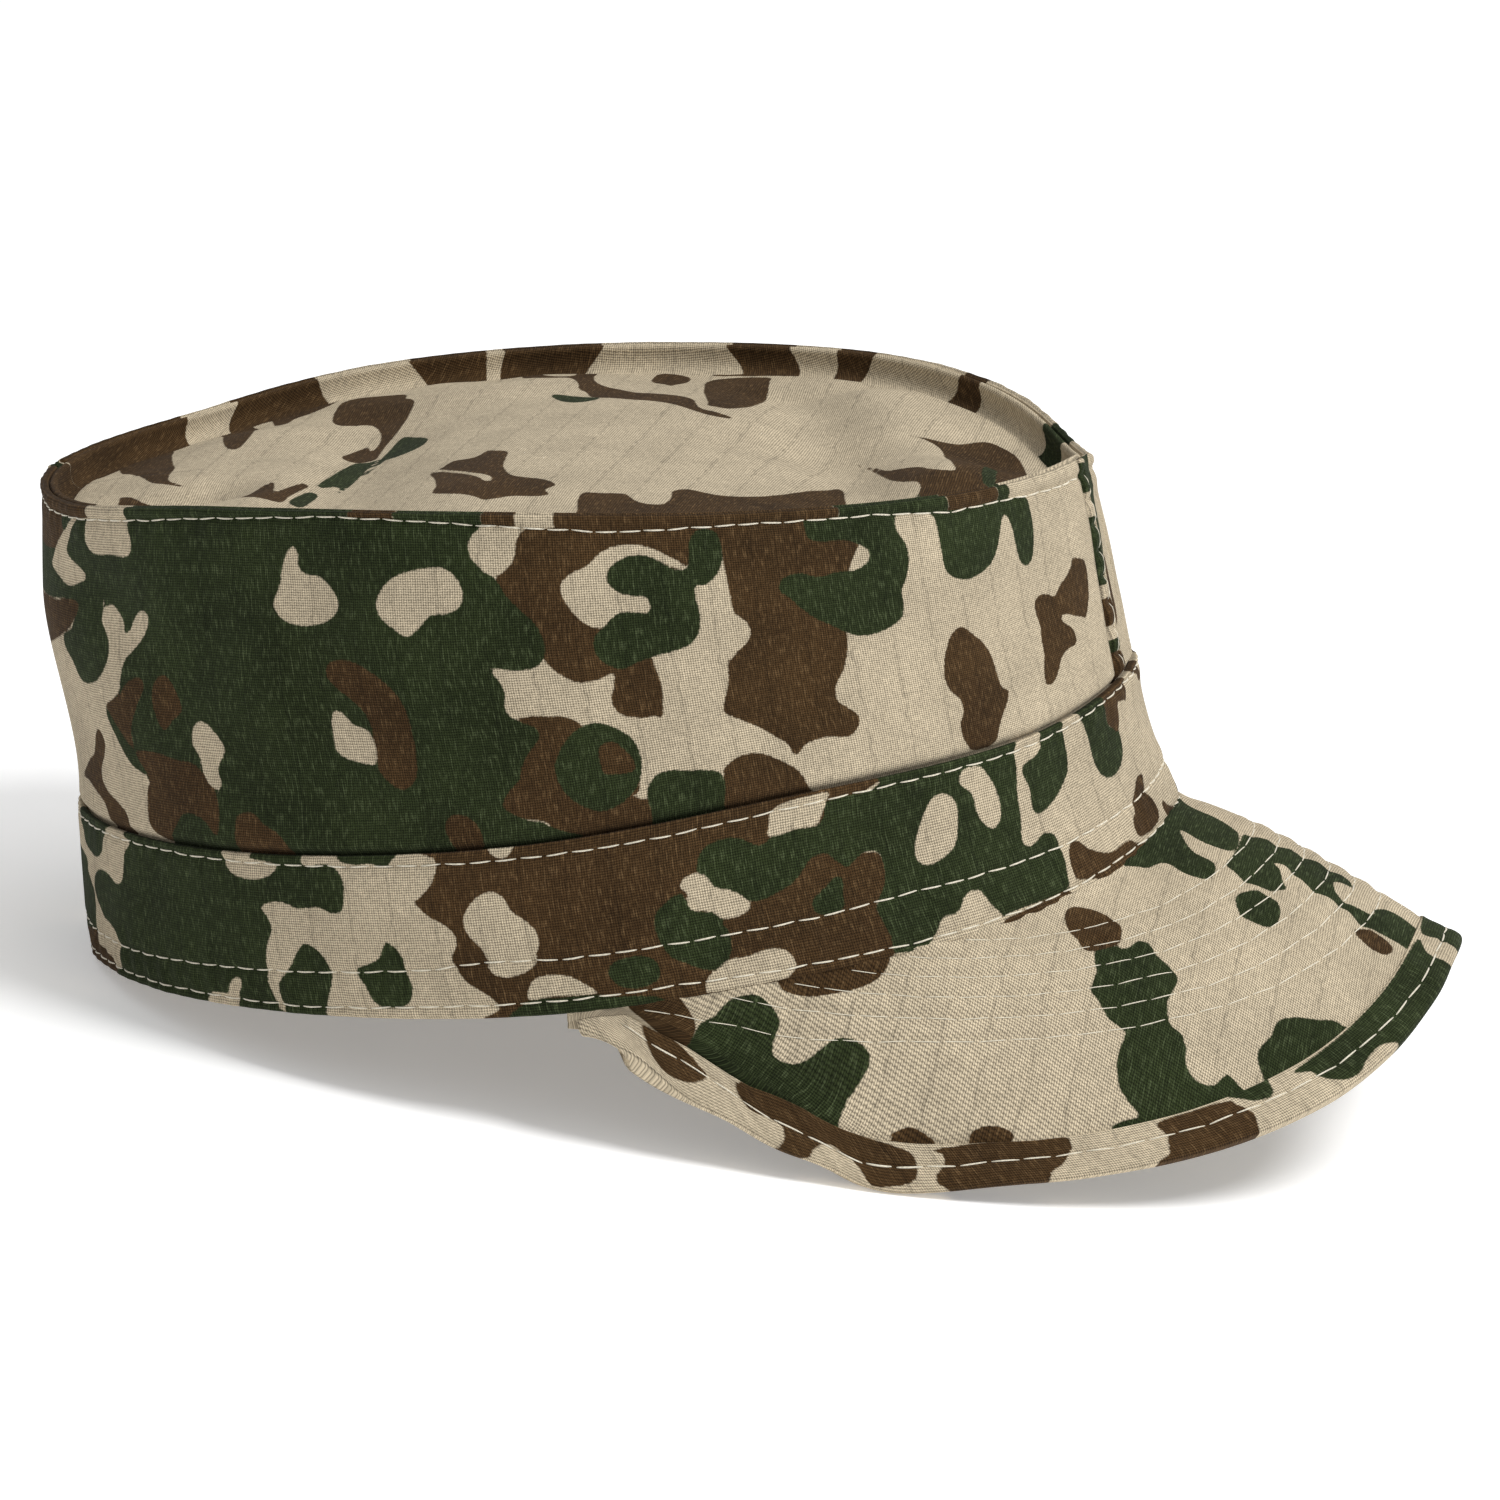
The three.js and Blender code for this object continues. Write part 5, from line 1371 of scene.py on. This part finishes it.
peak_columns = np.sin(np.radians(76) * np.linspace(1, -1, int(440 * detail))) / math.sin(math.radians(76))
peak_ways = np.concatenate([np.linspace(0, 1, int(104 * detail))[:-1], np.linspace(1, 2, 5)])
peak = cloth_piece(
    "peak_cloth", peak_columns, folded_section(peak_ways, 0.02, 26), peak_place, peak_flat, peak_print,
    (camouflage, camouflage),
)
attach(peak, "root")
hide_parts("peak")


def quilt_row(row):
    """Where a row of quilting runs over the peak, and its stitches' middles along it."""
    across = np.linspace(-0.94, 0.94, 700)
    start = (band_cloth + cloth_gap) / board_length(across)
    shares = np.linspace(0, 1, 50)
    outs = start[:, None] + (hem_fold(across) - start)[:, None] * shares
    numbers, _ = quilt_number(board_top(np.repeat(across[:, None], 50, 1), outs))
    crossed = (numbers[:, 0] < row) & (numbers[:, -1] > row)
    way = [(a, np.interp(row, n, o)) for a, n, o, c in zip(across, numbers, outs, crossed) if c]
    across, outs = (np.array(column) for column in zip(*way))
    lengths = lengths_along(board_top(across, outs))

    def place(along, aside, off):
        a = np.interp(along, lengths, across)
        o = np.interp(along, lengths, outs) + aside / board_length(a)
        return in_board(a, o, -(off + peak_relief(a, o)))

    return place, np.arange(2.0, lengths[-1] - 1.5, peak_pitch)


quilting = sewn_rows("peak_quilting", model_stitch(5.9, 0.25), [quilt_row(row) for row in range(1, 7)])
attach(quilting, "root")


# The hem of the peak. A strip of the same cloth folded round the peak's outer edge, over its upper
# and its lower face, and sewn through with one row of stitches.
hem_pitch = 5.8
# Where the stitches run: share across, millimetres in from the outer edge
hem_row = (
    (-1, 13), (-0.94, 12.4), (-0.9, 11), (-0.86, 7.8), (-0.82, 6.6), (-0.78, 5.8), (-0.74, 5.4), (-0.7, 5),
    (-0.4, 5), (-0.2, 4.2), (-0.08, 3.7), (0, 3.7),
)
# Blotches of the hem: share across, millimetres in from the outer edge
hem_blotches = (
    ("b", (-.93, 17, -.938, 12, -.943, 7, -.941, 4.5, -.93, 5, -.915, 7, -.9, 10.5, -.9, 13, -.905, 16,
        -.915, 18)),
    ("b", (-.872, 14, -.878, 9, -.874, 7.6, -.863, 7.8, -.855, 6.8, -.861, 3.5, -.872, .5, -.885, -3,
        -.862, -3, -.856, 0, -.848, 1, -.838, 3.8, -.826, 6.4, -.814, 7.6, -.803, 5, -.802, 1, -.785, 1.4,
        -.765, 2.5, -.755, 4.5, -.75, 7, -.754, 9.5, -.8, 14, -.84, 17)),
    ("b", (-.74, 0, -.745, 2, -.74, 4, -.73, 5.5, -.725, 7.5, -.722, 9, -.62, 9, -.61, 7, -.62, 5, -.633, 3,
        -.645, 2, -.655, 0, -.66, -3, -.745, -3)),
    ("b", (-.55, -3, -.55, 0, -.535, 1.2, -.528, 3, -.52, 5, -.515, 8, -.44, 8, -.43, 6.5, -.425, 5,
        -.425, 3.5, -.43, 2, -.435, 0, -.435, -3)),
    ("g", (-.42, 7.2, -.41, 6, -.395, 5.4, -.385, 6, -.38, 7.5, -.38, 9, -.43, 9)),
    ("g", (-.325, 8, -.327, 6, -.325, 4.5, -.32, 3, -.31, 1.7, -.295, 1, -.28, 1.2, -.265, 2, -.25, 2.3,
        -.235, 2.2, -.225, 1.5, -.215, .3, -.21, -3, -.05, -3, -.05, 1, -.052, 5, -.05, 8)),
    ("g", (-.005, 8, -.008, 4, -.01, 0, -.005, -3, .14, -3, .13, 1, .135, 5, .15, 8)),
    ("b", (.22, -9, .23, 9, .3, 9, .32, 3, .3, -9)),
    ("g", (.45, -9, .46, 2, .44, 9, .54, 9, .56, 0, .53, -9)),
    ("b", (.6, -9, .62, 9, .7, 9, .71, 1, .68, -9)),
    ("g", (.8, -9, .79, 9, .87, 9, .88, -9)),
)


def hem_way(way):
    """The way round the board's edge, from 0 at the hem's upper edge to 22 at its lower: how far
    back from the edge as a share of the hem, the angle round the corners, and how far through."""
    back = np.interp(way, (0, 8, 14, 22), (1, 0, 0, 1))
    corner = np.radians(np.interp(way, (8, 10, 12, 14), (90, 0, 0, -90)))
    return back, corner, np.interp(way, (10, 12), (0, 1))


def hem_row_at(across):
    return looked_up(hem_row, -np.abs(across))


def hem_inward(across, way):
    """How far in from the peak's outer edge a place on the hem lies, negative on its lower face."""
    back, corner, _ = hem_way(way)
    ends = cloth_gap + hem_cloth
    inward = ends * (1 - np.cos(corner)) + back * (1 - hem_fold(across)) * board_length(across)
    return np.where(way > 11, -inward, inward)


hem_path = np.linspace(-0.995, 0.995, 1200)
hem_lengths = lengths_along(board_top(hem_path, 1 - 0.6 * (1 - hem_fold(hem_path))))


def hem_along(across):
    return np.interp(across, hem_path, hem_lengths)


def hem_relief(across, way):
    aside = (np.abs(hem_inward(across, way)) - hem_row_at(across)) * middle_hem / hem_width_at(across)
    along = hem_along(across)
    flat = smooth(np.abs(way - 11), 2.5, 4)
    relief = sewn_in(aside, along, hem_pitch) + 0.14 * uneven(along, 71, 4.5)
    calm = 1 - smooth(np.abs(across), 0.9, 0.96)
    return (relief * flat + 0.1 * uneven(along, 72, 9)) * calm


def hem_stand(back):
    """How far the hem's face stands off the board: less towards its inner edge."""
    return cloth_gap + hem_cloth - 0.8 * smooth(back, 0, 0.9)


def hem_place(across, way, depth):
    back, corner, through = hem_way(way)
    distance = hem_stand(back) - 0.6 * depth + hem_relief(across, way) * (1 - depth)
    out = 1 - back * (1 - hem_fold(across))
    return in_board(across, out, peak_board * through - np.sin(corner) * distance, np.cos(corner) * distance)


hem_columns = np.interp(np.linspace(hem_lengths[-1], 0, int(520 * detail)), hem_lengths, hem_path)
hem_ways = np.concatenate([np.linspace(0, 8, 26)[:-1], np.linspace(8, 14, 13)[:-1], np.linspace(14, 22, 20)])
hem = cloth_piece(
    "peak_hem_cloth", hem_columns, folded_section(hem_ways, 0.5, 14), hem_place,
    lambda across, way: (
        hem_along(across) + 900, hem_inward(across, way) * middle_hem / hem_width_at(across) + 50,
    ),
    lambda across, way: printed(across, hem_inward(across, way), hem_blotches, (170, 1)),
    (camouflage, lining),
)
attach(hem, "root")
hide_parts("peak_hem")


def hem_thread(face):
    """Places thread on the hem's upper face, 1, or its lower one, -1."""
    def place(along, aside, off):
        across = np.interp(along, hem_lengths, hem_path)
        inward = hem_row_at(across) + aside * hem_width_at(across) / middle_hem - cloth_gap - hem_cloth
        wide = 1 - hem_fold(across)
        back = np.minimum(inward / board_length(across), 0.86 * wide)
        way = 8 * (1 - back / wide)
        way = way if face > 0 else 22 - way
        stand = hem_stand(back / wide) + off + hem_relief(across, way)
        return in_board(across, 1 - back, -stand if face > 0 else peak_board + stand)
    return place


hem_middles = np.arange(2 * hem_pitch, hem_lengths[-1] - 1.8 * hem_pitch, hem_pitch)
hem_stitches = sewn_rows(
    "peak_hem_stitches", model_stitch(5.6, 0.31),
    [(hem_thread(1), hem_middles), (hem_thread(-1), hem_middles)],
)
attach(hem_stitches, "root")


# The studio: a wide pale floor that fills the picture, a large soft light from the front right and
# above, a wider and weaker one from nearly straight above, and an even pale surround.
bpy.ops.mesh.primitive_plane_add(size=14, location=(0, 0, 0))
floor = bpy.context.object
floor.name = "floor"
paper, paper_tree = new_material("floor_paper")
paper_shader = paper_tree.nodes["Principled BSDF"]
grain = add_node(paper_tree, "ShaderNodeTexNoise", {"Scale": 60.0, "Detail": 4.0})
paper_tree.links.new(add_node(paper_tree, "ShaderNodeTexCoord").outputs["Object"], grain.inputs["Vector"])
paper_colour = blend_colours(paper_tree, grain.outputs[0], (0.90, 0.90, 0.90, 1), (0.93, 0.93, 0.93, 1))
paper_tree.links.new(paper_colour, paper_shader.inputs["Base Color"])
paper_shader.inputs["Roughness"].default_value = 0.9
paper_tree.links.new(paper_colour, paper_shader.inputs["Emission Color"])
paper_shader.inputs["Emission Strength"].default_value = 0.28
floor.data.materials.append(paper)


def add_light(name, place, aim, size, power):
    light = bpy.data.lights.new(name, "AREA")
    light.shape = "DISK"
    light.size = size
    light.energy = power
    lamp = bpy.data.objects.new(name, light)
    bpy.context.collection.objects.link(lamp)
    lamp.location = place
    lamp.rotation_euler = (Vector(aim) - Vector(place)).to_track_quat("-Z", "Y").to_euler()


add_light("key", (1.25, -0.5, 2.0), (0, 0, 0.05), 0.9, 44)
add_light("over", (0.3, 0.3, 2.2), (0, 0, 0), 1.6, 8)
world = bpy.data.worlds.new("studio")
bpy.context.scene.world = world
world.use_nodes = True
world.node_tree.nodes["Background"].inputs["Color"].default_value = (1, 1, 1, 1)
world.node_tree.nodes["Background"].inputs["Strength"].default_value = 0.5
